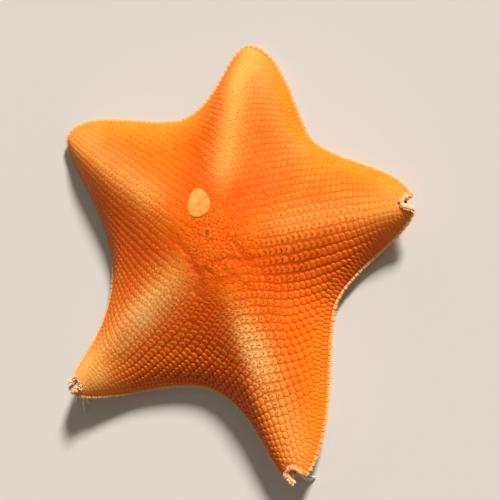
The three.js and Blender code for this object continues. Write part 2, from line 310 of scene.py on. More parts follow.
def crown(x, y):
    """Height of the solids' upper surface."""
    azimuth = azimuth_of(x, y)
    radius = radius_at(azimuth)
    share = np.clip(np.hypot(x, y) / radius, 0, 1)
    power = lerp(WEB_POWER, CREST_POWER, crest_share(azimuth))
    roundness = np.maximum(0, 1 - share / STAR_FROM)
    level = share * (radius / DISC_RADIUS) ** roundness
    flattened = np.hypot(level, CROWN_FLAT) - CROWN_FLAT
    fall = (flattened / (math.hypot(1, CROWN_FLAT) - CROWN_FLAT)) ** power
    shoulder = SHOULDER * (1 - share**SHOULDER_POWER)
    return RIM_TOP + shoulder + (DISC_HEIGHT - RIM_TOP - SHOULDER) * (1 - fall) + lift_at(x, y)


def sole(x, y):
    """Height of the solids' underside, apart from its hollows."""
    share = np.hypot(x, y) / radius_at(azimuth_of(x, y))
    rise = np.clip((share - FLAT_SHARE) / (1 - FLAT_SHARE), 0, 1)
    return RIM_BOTTOM * rise**1.5 + lift_at(x, y)


# Folds of the skin: from, to, how deep and how wide.
FOLDS = [
    ((-9.0, -0.5), (-5.5, -4.5), 0.2, 1.1),
    ((-5.5, -4.5), (-3.6, -9.0), 0.3, 1.1),
    ((-3.6, -9.0), (0.2, -6.8), 0.26, 0.9),
    ((-3.6, -9.0), (-4.0, -14.0), 0.26, 1.2),
    ((-13.0, 2.5), (-9.0, -0.5), 0.12, 1.0),
    ((4.2, 4.0), (6.3, -1.8), 0.14, 0.8),
    ((7.8, 1.5), (9.6, -3.8), 0.16, 0.9),
    ((1.2, -4.6), (8.5, -3.9), 0.18, 0.8),
    ((8.5, -3.9), (13.0, -4.6), 0.16, 0.9),
    ((-1.5, 17.0), (-8.0, 27.0), 0.12, 1.6),
    ((-0.6, 14.7), (3.7, 10.8), 0.12, 1.0),
    ((4.5, 11.0), (9.0, 15.5), 0.12, 1.6),
    ((-8.3, 5.4), (-2.6, 4.8), 0.1, 0.7),
    ((-3.8, 1.7), (0.8, 1.5), 0.12, 0.7),
    ((1.0, -9.5), (6.0, -10.5), 0.14, 0.9),
    ((5.0, -8.0), (10.5, -11.5), 0.14, 1.0),
]
FOLD_WANDER = 0.6  # how far the folds wind
FOLD_SHADE = 3.0  # painted shade in the folds: how much redder and darker for each millimetre of depth


def folds(x, y):
    """Depth of the skin's folds."""
    depth = np.zeros(np.shape(x))
    x = x + FOLD_WANDER * (np.sin(0.9 * y + 1.0) + 0.5 * np.sin(2.3 * y))
    y = y + FOLD_WANDER * (np.sin(0.8 * x + 0.5) + 0.5 * np.sin(2.1 * x + 1.0))
    for start, end, deep, width in FOLDS:
        start, end = np.array(start), np.array(end)
        run = end - start
        t = np.clip(((x - start[0]) * run[0] + (y - start[1]) * run[1]) / (run @ run), 0, 1)
        away = np.hypot(x - start[0] - t * run[0], y - start[1] - t * run[1])
        depth = np.maximum(depth, deep * bell(away, 1.15 * width))
    return depth


def skin_top(x, y):
    """Height of the skin's upper side."""
    return crown(x, y) - COAT_DEPTH - folds(x, y)


def groove_frame(x, y):
    """How far each point is along and across its arm's groove, and the first as a share of it."""
    owner, along, across = arm_frame(x, y)
    return along, across, np.clip(along / of_arm(owner, "reach"), 0, 1)


def groove_height(x, y):
    """How far the grooves and the mouth are carved up into the underside."""
    along, across, share = groove_frame(x, y)
    half = lerp(*GROOVE_HALF, share)
    arch = np.clip(1 - np.abs(across / half) ** 3, 0, 1) ** 0.6
    groove = lerp(*GROOVE_DEEP, share) * arch * smoothstep(MOUTH_RADIUS - 1, MOUTH_RADIUS, along)
    mouth = MOUTH_DEEP * smoothstep(MOUTH_RADIUS + 0.25, MOUTH_RADIUS - 0.35, np.hypot(x, y))
    return np.maximum(groove, mouth)


def skin_sole(x, y):
    """Height of the skin's underside."""
    return sole(x, y) + SOLE_DEPTH + groove_height(x, y)


def slope_normal(height, x, y, step=0.3):
    """Unit normals of a height field, pointing up."""
    across = (height(x + step, y) - height(x - step, y)) / (2 * step)
    along = (height(x, y + step) - height(x, y - step)) / (2 * step)
    return normalized(np.stack([-across, -along, np.ones_like(across)], axis=-1))


# ---- Markings ----

# On each arm: how far the pale ridge is beside the axis, anticlockwise, where it is moved towards the
# lit side as painted highlight; how wide it is, at what share of the reach it starts, and how pale it
# and the arm's end are. The fourth arm's pale end is painted light on its curled-up tip.
RIDGE = {
    "shift": (-0.5, 1.2, 1.4, -0.6, -1.2),
    "width": (4.4, 4.6, 4.6, 6.4, 5.0),
    "start": (0.2, 0.2, 0.17, 0.08, 0.2),
    "pale": (0.85, 0.5, 0.8, 1.0, 0.72),
    "tip": (0.1, 0.2, 0.1, 1.0, 0.1),
}
PATCH_ALONG = 32  # how far out the pale patch of the third and the fourth arm is
SHADE_RED_FLANKS = {  # azimuths, and the painted shade, redder and darker, of the lower flank there
    11: 0.0, 350: 0.95, 334: 0.2, 310: 0.05, 291: 0.0, 280: 1.0, 258: 0.85, 240: 0.3, 222: 0.0,
    205: 0.1, 187: 0.25, 166: 0.3, 150: 0.0,
}
SHADED_FLANKS = {  # azimuths, and the painted shade that darkens the flank's furrows there
    8: 0.0, 352: 0.8, 334: 0.4, 318: 0.0, 296: 0.0, 284: 1.0, 228: 1.0, 205: 0.3, 186: 0.0,
}
TIP_SHADE = (1, 1, 1, 0.1, 1)  # share of that painted shade which is left at each arm's end


def shaded(x, y):
    """How much each point lies on a flank turned from the light, which gets painted shade."""
    flank = round_table(x, y, SHADED_FLANKS)
    return flank * smoothstep(20, 10, margin_distance(x, y)) * at_tip(x, y, TIP_SHADE)


def pale_parts(x, y):
    """Strength of the pale ridge, of the pale patches on it and of the arms' pale ends."""
    owner, along, across = arm_frame(x, y)
    out = along / of_arm(owner, "reach")
    shift, width, start, strength, tip = (np.array(values)[owner] for values in RIDGE.values())
    ridge = bell(across - shift, width) * smoothstep(0, 0.24, out - start)
    ridge = ridge * (1 - 0.4 * smoothstep(0.8, 0.97, out))
    patch = ((owner == 2) | (owner == 3)) * bell(along - PATCH_ALONG, 8) * bell(across - shift, 4.0)
    # painted light: the fourth arm's curled-up tip is paler, in this patch and in its pale end below
    patch = patch + 0.25 * (owner == 3) * smoothstep(0.74, 0.88, out) * bell(across - shift, 5)
    end = tip * smoothstep(0.78, 0.92, out) * bell(across - shift, 5)
    return ridge, strength, patch, end * smoothstep(0.5, 4, margin_distance(x, y))


def red_parts(x, y, ridge):
    """How red the webs' valleys and the middle are, with painted shade: redder, darker lower flanks
    and folds.
    """
    radius = np.hypot(x, y)
    from_web = np.min(turns_from(azimuth_of(x, y), WEBS), axis=0)
    valley = bell(radius * np.sin(np.radians(np.minimum(from_web, 90))), 5.5)
    valley = 0.6 * valley * smoothstep(5, 12, radius) * smoothstep(34, 18, radius)
    centre = smoothstep(14, 5, radius) * 0.33
    # painted shade: the lower flanks turned from the light are redder and darker
    flank = round_table(x, y, SHADE_RED_FLANKS)
    flank = flank * smoothstep(18, 7, margin_distance(x, y)) * smoothstep(12, 24, radius) * (1 - ridge)
    # the folds are made redder and darker by their depth: painted shade
    return np.maximum(valley, centre) * (1 - 0.6 * ridge) + flank + FOLD_SHADE * folds(x, y)


def markings(x, y):
    """The named values of each point: what its colours are mixed by."""
    ridge, strength, patch, end = pale_parts(x, y)
    pale = np.clip(strength * ridge + 0.45 * patch + end, 0, 1)
    margin = smoothstep(9, 1, margin_distance(x, y))
    shade = shaded(x, y)
    middle = smoothstep(18, 9, np.hypot(x, y))
    # painted shade: on flanks turned from the light the darker furrow colour reaches further and the
    # margin is less yellow
    even = 0.9 * middle + 0.5 * margin * (1 - shade) + 0.4 * pale - 0.3 * shade
    return {
        "pale": pale,
        "patch": patch,
        "shade": shade,
        "red": np.clip(red_parts(x, y, ridge), 0, 1),
        "margin": margin * (1 - 0.7 * shade),
        "even": np.clip(even + 0.5 * smoothstep(1.1, 0.3, relief_at(x, y)), 0, 1),
    }


# ---- Meshes ----

MM = 0.001  # in metres
UNWRAP = 230  # millimetres of the body across the bake map
UNWRAP_CENTRES = {"top": 0.25, "bottom": 0.75}
ROOT_PATCH = 0.003  # of the map across, for each tuft or plate


def placed(points):
    """Metres in the frame from millimetres in star coordinates."""
    return (points - np.array([*CENTRE, 0])) * MM


def unwrapped(points, side):
    """The skin laid flat: its upper side on the left of the map and its underside on the right."""
    x, y = points[..., 0], points[..., 1]
    return np.stack([UNWRAP_CENTRES[side] + x / UNWRAP, 0.5 + y / UNWRAP], axis=-1)


def linked(name, data):
    """A new object in the scene."""
    thing = bpy.data.objects.new(name, data)
    bpy.context.collection.objects.link(thing)
    return thing


class Coat:
    """Collects points, triangles, map places and named values of one joined mesh."""

    def __init__(self, name):
        self.name = name
        self.points, self.faces, self.places, self.values = [], [], [], []
        self.count = 0

    def add(self, points, faces, side="top", places=None, **values):
        """Adds a mesh. Its places on the map are those of its points if none are given."""
        self.faces.append(np.asarray(faces) + self.count)
        self.points.append(points)
        self.places.append(unwrapped(points, side) if places is None else places)
        self.values.append({key: np.broadcast_to(value, len(points)) for key, value in values.items()})
        self.count += len(points)

    def add_copies(self, points, faces, places, raised, **values):
        """Adds many like meshes. raised is given for each point and the other values for each mesh."""
        count, each = points.shape[:2]
        shifts = np.arange(count)[:, None, None] * each
        spread = {key: np.repeat(np.broadcast_to(value, count), each) for key, value in values.items()}
        self.add(
            points.reshape(-1, 3), (faces[None] + shifts).reshape(-1, 3), places=places.reshape(-1, 2),
            raised=np.broadcast_to(raised, (count, each)).ravel(), **spread,
        )

    def mesh(self):
        """The joined mesh, with its bake map and its named values."""
        points = placed(np.concatenate(self.points))
        corners = np.concatenate(self.faces).ravel().astype(np.int32)
        mesh = bpy.data.meshes.new(self.name)
        mesh.vertices.add(len(points))
        mesh.vertices.foreach_set("co", points.ravel())
        mesh.loops.add(len(corners))
        mesh.loops.foreach_set("vertex_index", corners)
        mesh.polygons.add(len(corners) // 3)
        mesh.polygons.foreach_set("loop_start", np.arange(0, len(corners), 3, dtype=np.int32))
        mesh.update(calc_edges=True)
        mesh.shade_smooth()
        places = np.concatenate(self.places)[corners]
        mesh.uv_layers.new(name="OFBake").data.foreach_set("uv", places.ravel())
        for key in self.values[0]:
            column = np.concatenate([values[key] for values in self.values]).astype(np.float32)
            mesh.attributes.new(key, "FLOAT", "POINT").data.foreach_set("value", column)
        return mesh

    def piece(self, material, slot, *nodes):
        """Puts the mesh into the scene, in place of the frame's nodes that are named."""
        piece = linked(self.name, self.mesh())
        piece.data.materials.append(material)
        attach(piece, "root")
        if nodes:
            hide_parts(*nodes)


def ring_faces(rings, around, closed_ends=(True, True)):
    """Triangles of a closed tube of rings, with a point at each end that is closed."""
    first = int(closed_ends[0])
    faces = []
    step = np.arange(around)
    after = (step + 1) % around
    for r in range(rings - 1):
        near, far = first + r * around, first + (r + 1) * around
        faces.append(np.stack([near + step, near + after, far + after], axis=1))
        faces.append(np.stack([near + step, far + after, far + step], axis=1))
    last = first + (rings - 1) * around
    if closed_ends[0]:
        faces.append(np.stack([np.zeros(around, int), first + after, first + step], axis=1))
    if closed_ends[1]:
        faces.append(np.stack([last + step, last + after, np.full(around, last + around)], axis=1))
    return np.concatenate(faces)


# ---- Skin ----

SKIN_COLUMNS = 720
SKIN_RINGS = 83  # on the upper side
TIP_DENSITY = 3.0  # how much closer the columns stand at the tips
THINNEST = 0.5  # of the skin from its upper side to its underside
MARGIN_BULGE = 0.3  # how far it is rounded outwards


def skin_columns():
    """Directions of the skin's columns: even along the margin, and closer at the tips."""
    near_tip = [bell(turn / 6.0, 1) for turn in turns_from(EDGE_AZIMUTH, ARMS)]
    density = 1 + TIP_DENSITY * np.max(near_tip, axis=0)
    total = np.concatenate([[0], np.cumsum(np.diff(EDGE_ALONG) * density)])
    return edge_points(np.linspace(0, total[-1], SKIN_COLUMNS, endpoint=False), total)


def notch_inset(points):
    """How far the margin is drawn in along the axis of a curled tip."""
    owner, along, across = arm_frame(points[:, 0], points[:, 1])
    aside = np.array([LIPS[k]["aside"] if k in LIPS else 0.0 for k in range(len(ARMS))])[owner]
    open_end = smoothstep(1.3, 0.8, np.abs(across - aside) / NOTCH["half_width"])
    return np.where(of_arm(owner, "lift") > 0, NOTCH["length"] * open_end, 0)


def skin_rings():
    """Rings from the middle of the upper side over the margin to that of the underside."""
    edge = skin_columns()
    reach = np.linalg.norm(edge, axis=1)
    direction = edge / reach[:, None]
    inside = reach - SKIN_INSET - notch_inset(edge)
    shares = 1 - (1 - np.linspace(0, 1, SKIN_RINGS + 1)[1:]) ** 1.25
    rings = []
    for share in shares:
        plan = direction * (inside * share)[:, None]
        rings.append(np.c_[plan, skin_top(*plan.T)])
    high_rim = rings[-1][:, 2]
    low_rim = np.minimum(skin_sole(*plan.T), high_rim - THINNEST)
    for t in (0.25, 0.5, 0.75):  # the rounded margin
        plan = direction * (inside + MARGIN_BULGE * math.sin(math.pi * t))[:, None]
        rings.append(np.c_[plan, lerp(high_rim, low_rim, t)])
    for share in shares[::-2]:
        plan = direction * (inside * share)[:, None]
        height = low_rim if share == 1 else skin_sole(*plan.T)
        rings.append(np.c_[plan, np.minimum(height, skin_top(*plan.T) - THINNEST)])
    return rings


def make_skin(material):
    """The skin under the plates, which stands for the disc and the arms."""
    rings = skin_rings()
    high, low = (np.array([[0, 0, side(*np.zeros((2, 1)))[0]]]) for side in (skin_top, skin_sole))
    points = np.concatenate([high, *rings, low])
    on_top = np.arange(len(points)) < 1 + (SKIN_RINGS + 1) * SKIN_COLUMNS
    places = np.where(on_top[:, None], unwrapped(points, "top"), unwrapped(points, "bottom"))
    coat = Coat("skin")
    coat.add(
        points, ring_faces(len(rings), SKIN_COLUMNS), places=places,
        **markings(*points[:, :2].T), under=np.where(on_top, 0.0, 1.0), raised=0.0, tone=0.5,
    )
    arm_nodes = (f"{part}_{k + 1}" for part in ("arm", "arm_tip") for k in range(len(ARMS)))
    coat.piece(material, "skin", "disc", *arm_nodes)


# ---- Where the plates stand ----

# Plates stand in strips. In the sector between two neighbouring arms the strips run along one
# arm and bend round to cross the other one squarely, as the lines of a square grid do when its
# quarter turn is squeezed between the two axes.
STRIPS_ALONG = (1, 1, 3, 4, 4)  # for each web, the arm that its strips run along
STRIP_WIDTH = (1.5, 2.35)  # at the margin and well inside
PLATE_STEP = (1.3, 1.85)  # along a strip
NEAR_STEP = 0.78  # share of it near the centre
WIDE_AT = 12.5  # distance inside the margin where the plates reach their full size
PLATES_INSET = 2.5  # the outermost plates of the lattice stand this far inside the margin
CENTRE_RADIUS = 8  # inside it the plates are small and follow no strips
CENTRE_STEP = 1.1  # between those
NEAREST_PLATES = {"lattice": 0.6, "filled": 0.82}  # share of the usual spacing that they keep apart
SPOT_STEP = 0.35  # between the spots that are tried for filling gaps
GRID_STEP = 0.3  # for following the strips
# Height of the plates and boldness of the gills' rows, on each arm and in the web after it.
RELIEF = {
    "arms": (0.36, 0.66, 0.85, 0.66, 0.55),
    "webs": (0.52, 0.9, 1.1, 0.95, 0.38),
}
CENTRE_RELIEF = 0.36  # the same near the centre
# The right arm's lower flank: its azimuth and half-width in degrees, how much wider its strips are,
# the furrows between them, how far the plates of a strip run into each other, and how much bolder
# its gills.
WIDE_STRIPS = {"azimuth": 352, "half": 14, "wider": 0.2, "furrow": 0.13, "merge": 0.16, "gills": 0.45}
ARM_GRAIN = (0.76, 0.97, 1.04, 0.98, 0.82)  # how coarse the plates of each arm are
CENTRE_GRAIN = 0.92  # and those of the middle
TIP_GRAIN = (0.95, 0.85, 0.9, 0.76, 0.9)  # and what is left of that at its end
TIP_RELIEF = (0.7, 0.5, 0.8, 0.4, 0.8)  # share of the relief that is left there
BARE_BELTS = (9.5, 10.5, 11.0, 5.5, 6.5)  # width at each web of the belt without skin gills
BARE_TIP = 4  # how much wider it is at the arms' ends


def size_inside(pair, inside):
    """Between two sizes, one at the margin and one well inside."""
    return lerp(*pair, np.clip(inside / WIDE_AT, 0, 1))


def lattice_share(x, y):
    """How much the plates of each point follow strips, and not the crowd near the centre."""
    return smoothstep(CENTRE_RADIUS - 1.5, CENTRE_RADIUS + 2.5, np.hypot(x, y))


def grain_at(x, y):
    """How coarse the plates are at each point."""
    share = smoothstep(8, 25, np.hypot(x, y))
    grain = lerp(CENTRE_GRAIN, round_table(x, y, table_of(ARMS, ARM_GRAIN)), share)
    return grain * at_tip(x, y, TIP_GRAIN)


def at_tip(x, y, values):
    """1 on the body, and each arm's own value at its end."""
    owner, along, _ = arm_frame(x, y)
    return lerp(1, np.array(values)[owner], smoothstep(0.66, 0.88, along / of_arm(owner, "reach")))


def relief_at(x, y):
    """How strongly plates and gills stand out at each point."""
    relief = round_table(x, y, table_of(ARMS, RELIEF["arms"]) | table_of(WEBS, RELIEF["webs"]))
    relief = lerp(CENTRE_RELIEF, relief, smoothstep(9, 21, np.hypot(x, y)))
    return relief * at_tip(x, y, TIP_RELIEF)


def wide_share(x, y):
    """How much each point belongs to the flank with wide strips."""
    turn = turn_between(azimuth_of(x, y), WIDE_STRIPS["azimuth"])
    return bell(turn, WIDE_STRIPS["half"]) * smoothstep(8, 16, np.hypot(x, y))


def width_at(x, y):
    """How wide the strips are."""
    wider = 1 + WIDE_STRIPS["wider"] * wide_share(x, y)
    return wider * grain_at(x, y) * size_inside(STRIP_WIDTH, margin_distance(x, y))


def step_at(x, y):
    """How far apart plates stand along a strip."""
    near = lerp(NEAR_STEP, 1, smoothstep(12, 36, np.hypot(x, y)))
    step = near * size_inside(PLATE_STEP, margin_distance(x, y))
    return grain_at(x, y) * np.maximum(PLATE_STEP[0], step)


def sector_frame(x, y):
    """For each point: its web, and the turn from the strips' arm as a share of a right angle."""
    azimuth = azimuth_of(x, y)
    web = np.zeros(np.shape(x), int)
    turn = np.zeros(np.shape(x))
    for k, lead in enumerate(STRIPS_ALONG):
        high, low = ARMS[k]["azimuth"], ARMS[(k + 1) % len(ARMS)]["azimuth"]
        width = (high - low) % 360
        inside = np.mod(azimuth - low, 360) < width
        from_lead = np.abs(turn_between(azimuth, ARMS[lead]["azimuth"]))
        web = np.where(inside, k, web)
        turn = np.where(inside, 90 * from_lead / width, turn)
    return web, turn


def crossed_arm(web):
    """The arm that the strips of a web's sector cross."""
    after = (web + 1) % len(ARMS)
    return after if STRIPS_ALONG[web] == web else web


def squeezed(web, a, b):
    """The plane's point for distances along and across the strips of one web's sector."""
    start = ARMS[STRIPS_ALONG[web]]["azimuth"]
    width = turn_between(ARMS[crossed_arm(web)]["azimuth"], start)
    point = unit(start + width * np.degrees(np.arctan2(b, a)) / 90)
    return point * np.hypot(a, b)[..., None]


def strip_direction(x, y):
    """Unit vector along the strip through each point, away from the disc."""
    web, turn = sector_frame(x, y)
    radius = np.hypot(x, y)
    a, b = radius * np.cos(np.radians(turn)), radius * np.sin(np.radians(turn))
    direction = np.zeros((*np.shape(x), 2))
    for k in range(len(WEBS)):
        step = squeezed(k, a + 0.1, b) - squeezed(k, a - 0.1, b)
        direction = np.where((web == k)[..., None], step, direction)
    return normalized(direction)


def strip_side(x, y):
    """Unit vector across the strip through each point, towards the crest of the strips' own arm."""
    side = []
    for web, lead in enumerate(STRIPS_ALONG):
        crossed = ARMS[crossed_arm(web)]["azimuth"]
        side.append(-np.sign(turn_between(crossed, ARMS[lead]["azimuth"])))
    web = sector_frame(x, y)[0]
    return turned(strip_direction(x, y)) * np.array(side)[web][..., None]


def bare_belt(x, y):
    """Width of the belt inside the margin that has no skin gills."""
    owner, along, _ = arm_frame(x, y)
    belt = round_table(x, y, table_of(WEBS, BARE_BELTS))
    return belt + BARE_TIP * smoothstep(16, 7, of_arm(owner, "reach") - along)


def spacing(x, y):
    """Typical distance between neighbouring plates."""
    return lerp(CENTRE_STEP, np.sqrt(width_at(x, y) * step_at(x, y)), lattice_share(x, y))


def down_the_flank(x, y):
    """Direction in the plane that a crescent points in: along a crest, and outwards on a flank."""
    owner, along, across = arm_frame(x, y)
    azimuth = of_arm(owner, "azimuth")
    step = 1.0
    outwards = azimuth_of(
        margin_distance(x - step, y) - margin_distance(x + step, y),
        margin_distance(x, y - step) - margin_distance(x, y + step),
    )
    flank = smoothstep(1.0, 11.0, np.abs(across))
    pointing = azimuth + flank * turn_between(outwards, azimuth)
    near_centre = smoothstep(20, 9, np.hypot(x, y))
    return unit(pointing + near_centre * turn_between(azimuth_of(x, y), pointing))


def with_gaps_filled(places):
    """Places along a strip, with even ones added where whole plates are missing."""
    filled = []
    for here, after in zip(places, [*places[1:], math.inf]):
        filled.append(here)
        if 1.5 < after - here < 4:
            extra = round(after - here) - 1
            filled += [here + (after - here) * (i + 1) / (extra + 1) for i in range(extra)]
    return filled


def along_strip(points, from_far, row_numbers):
    """Places of one strip's plates: numbered from the crossed arm's crest, then by the lead's rows."""
    step = step_at(*points.T)
    run = np.concatenate([[0], np.cumsum(np.linalg.norm(np.diff(points, axis=0), axis=1) / step[1:])])
    middle = np.searchsorted(~from_far, True)
    places = list(np.arange(0.0, run[max(middle - 1, 0)] - 0.4))
    rows = np.maximum.accumulate(row_numbers[middle:])
    if len(rows) > 1:
        whole = np.arange(math.ceil(rows[0]), int(rows[-1]) + 1)
        places += list(np.interp(whole, rows, run[middle:]))
    places = with_gaps_filled(places)
    return np.stack([np.interp(places, run, column) for column in points.T], axis=1)


def sector_lattice(web):
    """Plate roots in the sector of one web, by following its strips."""
    reach = np.arange(0, EDGE_RADIUS.max() + 2, GRID_STEP)
    a, b = np.meshgrid(reach, reach, indexing="ij")
    points = squeezed(web, a, b)
    length_a, length_b = (
        np.linalg.norm(np.gradient(points, GRID_STEP, axis=axis), axis=-1) for axis in (0, 1)
    )
    index_a = np.cumsum(GRID_STEP * length_a / step_at(points[..., 0], points[..., 1]), axis=0)
    index_b = np.cumsum(GRID_STEP * length_b / width_at(points[..., 0], points[..., 1]), axis=1)
    index_a -= index_a[:1]
    index_b -= index_b[:, :1]
    found = []
    for strip in range(int(index_b.max()) + 1):
        across = np.array([np.interp(strip, row, reach, right=np.nan) for row in index_b])
        use = np.isfinite(across)
        if use.sum() < 2:
            continue
        rows, across, along = np.flatnonzero(use), across[use], reach[use]
        low = np.minimum((across / GRID_STEP).astype(int), len(reach) - 2)
        numbers = lerp(index_a[rows, low], index_a[rows, low + 1], across / GRID_STEP - low)
        found.append(along_strip(squeezed(web, along, across), along < across, numbers))
    return np.concatenate(found)


class Chosen:
    """Points kept apart from each other, found again by square cells."""

    CELL = 4.0

    def __init__(self):
        self.points = []
        self.cells = {}

    def cell(self, point):
        return int(point[0] // self.CELL), int(point[1] // self.CELL)

    def crowded(self, point, gap):
        i, j = self.cell(point)
        near = (self.cells.get((i + di, j + dj), ()) for di in (-1, 0, 1) for dj in (-1, 0, 1))
        return any(math.dist(point, other) < gap for cell in near for other in cell)

    def add(self, points, gaps):
        for point, gap in zip(points.tolist(), gaps):
            if not self.crowded(point, gap):
                self.points.append(point)
                self.cells.setdefault(self.cell(point), []).append(point)


def scattered(step, free):
    """Spots all over the free parts of the star, in random order."""
    x, y = (axis.ravel() for axis in np.meshgrid(*[np.arange(-70, 70, step)] * 2))
    spots = np.stack([x, y], axis=1)[free(x, y) & (np.hypot(x, y) < EDGE_RADIUS.max())]
    return spots[rng.permutation(len(spots))] + rng.uniform(-step / 2, step / 2, (len(spots), 2))


def among_plates(x, y):
    """Whether plates of the lattice may stand at each point."""
    return margin_distance(x, y) > PLATES_INSET


def plate_points():
    """Roots of the upper plates: the sectors' lattices, with their gaps filled."""
    chosen = Chosen()
    for web in range(len(WEBS)):
        points = sector_lattice(web)
        points = points[among_plates(*points.T) & (np.hypot(*points.T) > CENTRE_RADIUS)]
        near = smoothstep(22, 8, np.hypot(*points.T))
        among_gills = smoothstep(-1, 2, margin_distance(*points.T) - bare_belt(*points.T))
        stray = np.maximum(lerp(0.06, 0.3, near), 0.14 * among_gills)
        points = points + rng.normal(0, 1, points.shape) * stray[:, None]
        chosen.add(points, NEAREST_PLATES["lattice"] * spacing(*points.T))
    spots = scattered(SPOT_STEP, among_plates)
    chosen.add(spots, NEAREST_PLATES["filled"] * spacing(*spots.T))
    points = np.array(chosen.points)
    off_sieve, off_anus = (
        np.hypot(*(points - [part["x"], part["y"]]).T) for part in (MADREPORITE, ANUS)
    )
    return points[(off_sieve > MADREPORITE["half_long"] * 0.95) & (off_anus > ANUS["radius"] * 2.2)]


# ---- Plates ----

# The rings of a plate and of a small grain: share of the way out and of the height of its middle.
PLATE_STATIONS = ((0.45, 0.97), (0.78, 0.76), (0.95, 0.34), (1.0, -0.4))
GRAIN_STATIONS = ((0.6, 0.86), (0.92, 0.4), (1.0, -0.3))
PLATE_SIDES = 16
GRAIN_SIDES = 7
NEIGHBOURS = 14  # that give a plate its outline
CORNER_POWER = (4, 6)  # how sharp the corners are near the margin and among the skin gills
# Half-widths of the furrows within a strip and between strips, near the margin and among the gills.
FURROW = {"within": (-0.03, -0.08), "between": (0.0, 0.06)}
NOTCH_TURN = 52  # half-width in degrees of the notch behind a crescent
NOTCH_SHARE = 0.52  # how far it reaches in to the root
NOTCH_HOLLOW = 0.3  # how much lower the plate is there
CRESCENT_FROM = 0.35  # plates that are crescents by this share have grains and gills in their notches
WIDEST_PLATE = 1.9  # from its root to its edge
NARROWEST_PLATE = 0.12
PLATE_HEIGHT = {"centre": 0.05, "flank": 0.17, "crescent": 0.11}  # where the relief is 1
PLATE_TURN = (5, 11)  # how much their directions vary, at the margin and among the gills
# Of a plate that goes below the next strip: how far, how it slopes, and how round its free side is.
LAP = {"reach": 0.35, "tilt": 0.4, "cap": 1.0}
NOTCH_GRAINS = ((-0.2, 0.86, 0.17), (0.24, 0.8, 0.16))  # across, behind the root, radius


def cell_outlines(sites, count, lie, furrow_within, furrow_between, power):
    """Radii of the first sites' plates all round, out to the furrows halfway to the next ones."""
    tree = tree_of(sites)
    near = [tree.find_n((x, y, 0), NEIGHBOURS + 1)[1:] for x, y in sites[:count]]
    near = np.array([[i for _, i, _ in found] for found in near])
    away = sites[near] - sites[:count, None]
    distance = np.linalg.norm(away, axis=-1, keepdims=True)
    away /= distance
    beside = np.sum(away * turned(lie)[:, None], axis=-1, keepdims=True) ** 2
    furrow = (side[:, None, None] for side in (furrow_within, furrow_between))
    reach = np.maximum(distance / 2 - lerp(*furrow, smoothstep(0.2, 0.7, beside)), NARROWEST_PLATE)
    faced = np.maximum(0, away @ plate_turns(lie, PLATE_SIDES).swapaxes(1, 2)) / reach
    power = power[:, None]
    return (np.sum(faced ** power[:, None], axis=1) + WIDEST_PLATE**-power) ** (-1 / power)


def plate_turns(direction, sides):
    """Unit vectors round each plate, the first one along its direction."""
    turn = 2 * np.pi * np.arange(sides)[None, :, None] / sides
    return np.cos(turn) * direction[:, None] + np.sin(turn) * turned(direction)[:, None]


def shaped_radii(radii, rise, behind, notch, lap):
    """The outlines with the notch behind the root, and laid below the next strip on the lower side."""
    round_top = np.minimum(radii, LAP["cap"] * radii.mean(axis=1, keepdims=True))
    radii = lerp(radii, round_top, lap * smoothstep(-0.1, 0.3, rise))
    radii = radii * (1 - NOTCH_SHARE * notch * behind)
    return radii * (1 + LAP["reach"] * lap * np.maximum(0, -rise) ** 2)


def add_plates(
    coat, surface, roots, direction, radii, height, notch=0.0, lap=0.0, up=None, side="top",
    stations=PLATE_STATIONS, **values,
):
    """Cushion-shaped plates on a height field, with outlines given by radii round each one.

    notch hollows a plate behind its root. lap slides its lower side under the next strip."""
    count, sides = len(roots), radii.shape[1]
    height, notch, lap = (np.broadcast_to(value, count)[:, None] for value in (height, notch, lap))
    sign = 1 if side == "top" else -1
    turns = plate_turns(direction, sides)
    angle = 360 * np.arange(sides) / sides
    behind = bell(turn_between(angle, 180), NOTCH_TURN)[None]
    rise = np.zeros((1, sides)) if up is None else np.sum(turns * up[:, None], axis=-1)
    radii = shaped_radii(radii, rise, behind, notch, lap)
    middle = 1 - NOTCH_HOLLOW * notch
    plans, levels, raised, patch = [roots[:, None]], [middle], [middle], [np.zeros((1, 2))]
    for share, level in stations:
        plans.append(roots[:, None] + (radii * share)[..., None] * turns)
        slope = 1 + LAP["tilt"] * lap * rise * share
        hollow = NOTCH_HOLLOW * notch * behind * (share < 0.95)
        levels.append(level * slope * (1 - hollow) if level > 0 else np.full((count, sides), level))
        raised.append(max(level, 0) * slope * (1 - hollow))
        patch.append(share * unit(angle))
    plan, level, raised = (np.concatenate(parts, axis=1) for parts in (plans, levels, raised))
    normal = slope_normal(surface, *roots.T)[:, None] * sign
    ground = surface(plan[..., 0], plan[..., 1])[..., None]
    coat.add_copies(
        np.concatenate([plan, ground], axis=-1) + (height * level)[..., None] * normal,
        ring_faces(len(stations), sides, (True, False))[:, ::sign],
        unwrapped(roots, side)[:, None] + ROOT_PATCH / 2 * np.concatenate(patch)[None],
        raised, **values,
    )


def add_grains(coat, roots, direction, radius, height, **values):
    """Small round grains on the skin."""
    radii = np.broadcast_to(radius, len(roots))[:, None] * np.ones(GRAIN_SIDES)
    add_plates(coat, skin_top, roots, direction, radii, height, stations=GRAIN_STATIONS, **values)


MARGINAL_STEP = 1.2  # between neighbouring scales of a row
MARGINAL_INSETS = (1.0, 2.0)  # how far the rows are inside the margin


def marginal_rows():
    """Roots of the two rows of scales along the upper edge of the margin, and the way out of it."""
    rows = []
    for row, inset in enumerate(MARGINAL_INSETS):
        count = round(PERIMETER / MARGINAL_STEP)
        edge, out = edge_at((np.arange(count) + 0.5 * row) * PERIMETER / count)
        rows.append(np.c_[edge - out * inset, out])
    return np.concatenate(rows)


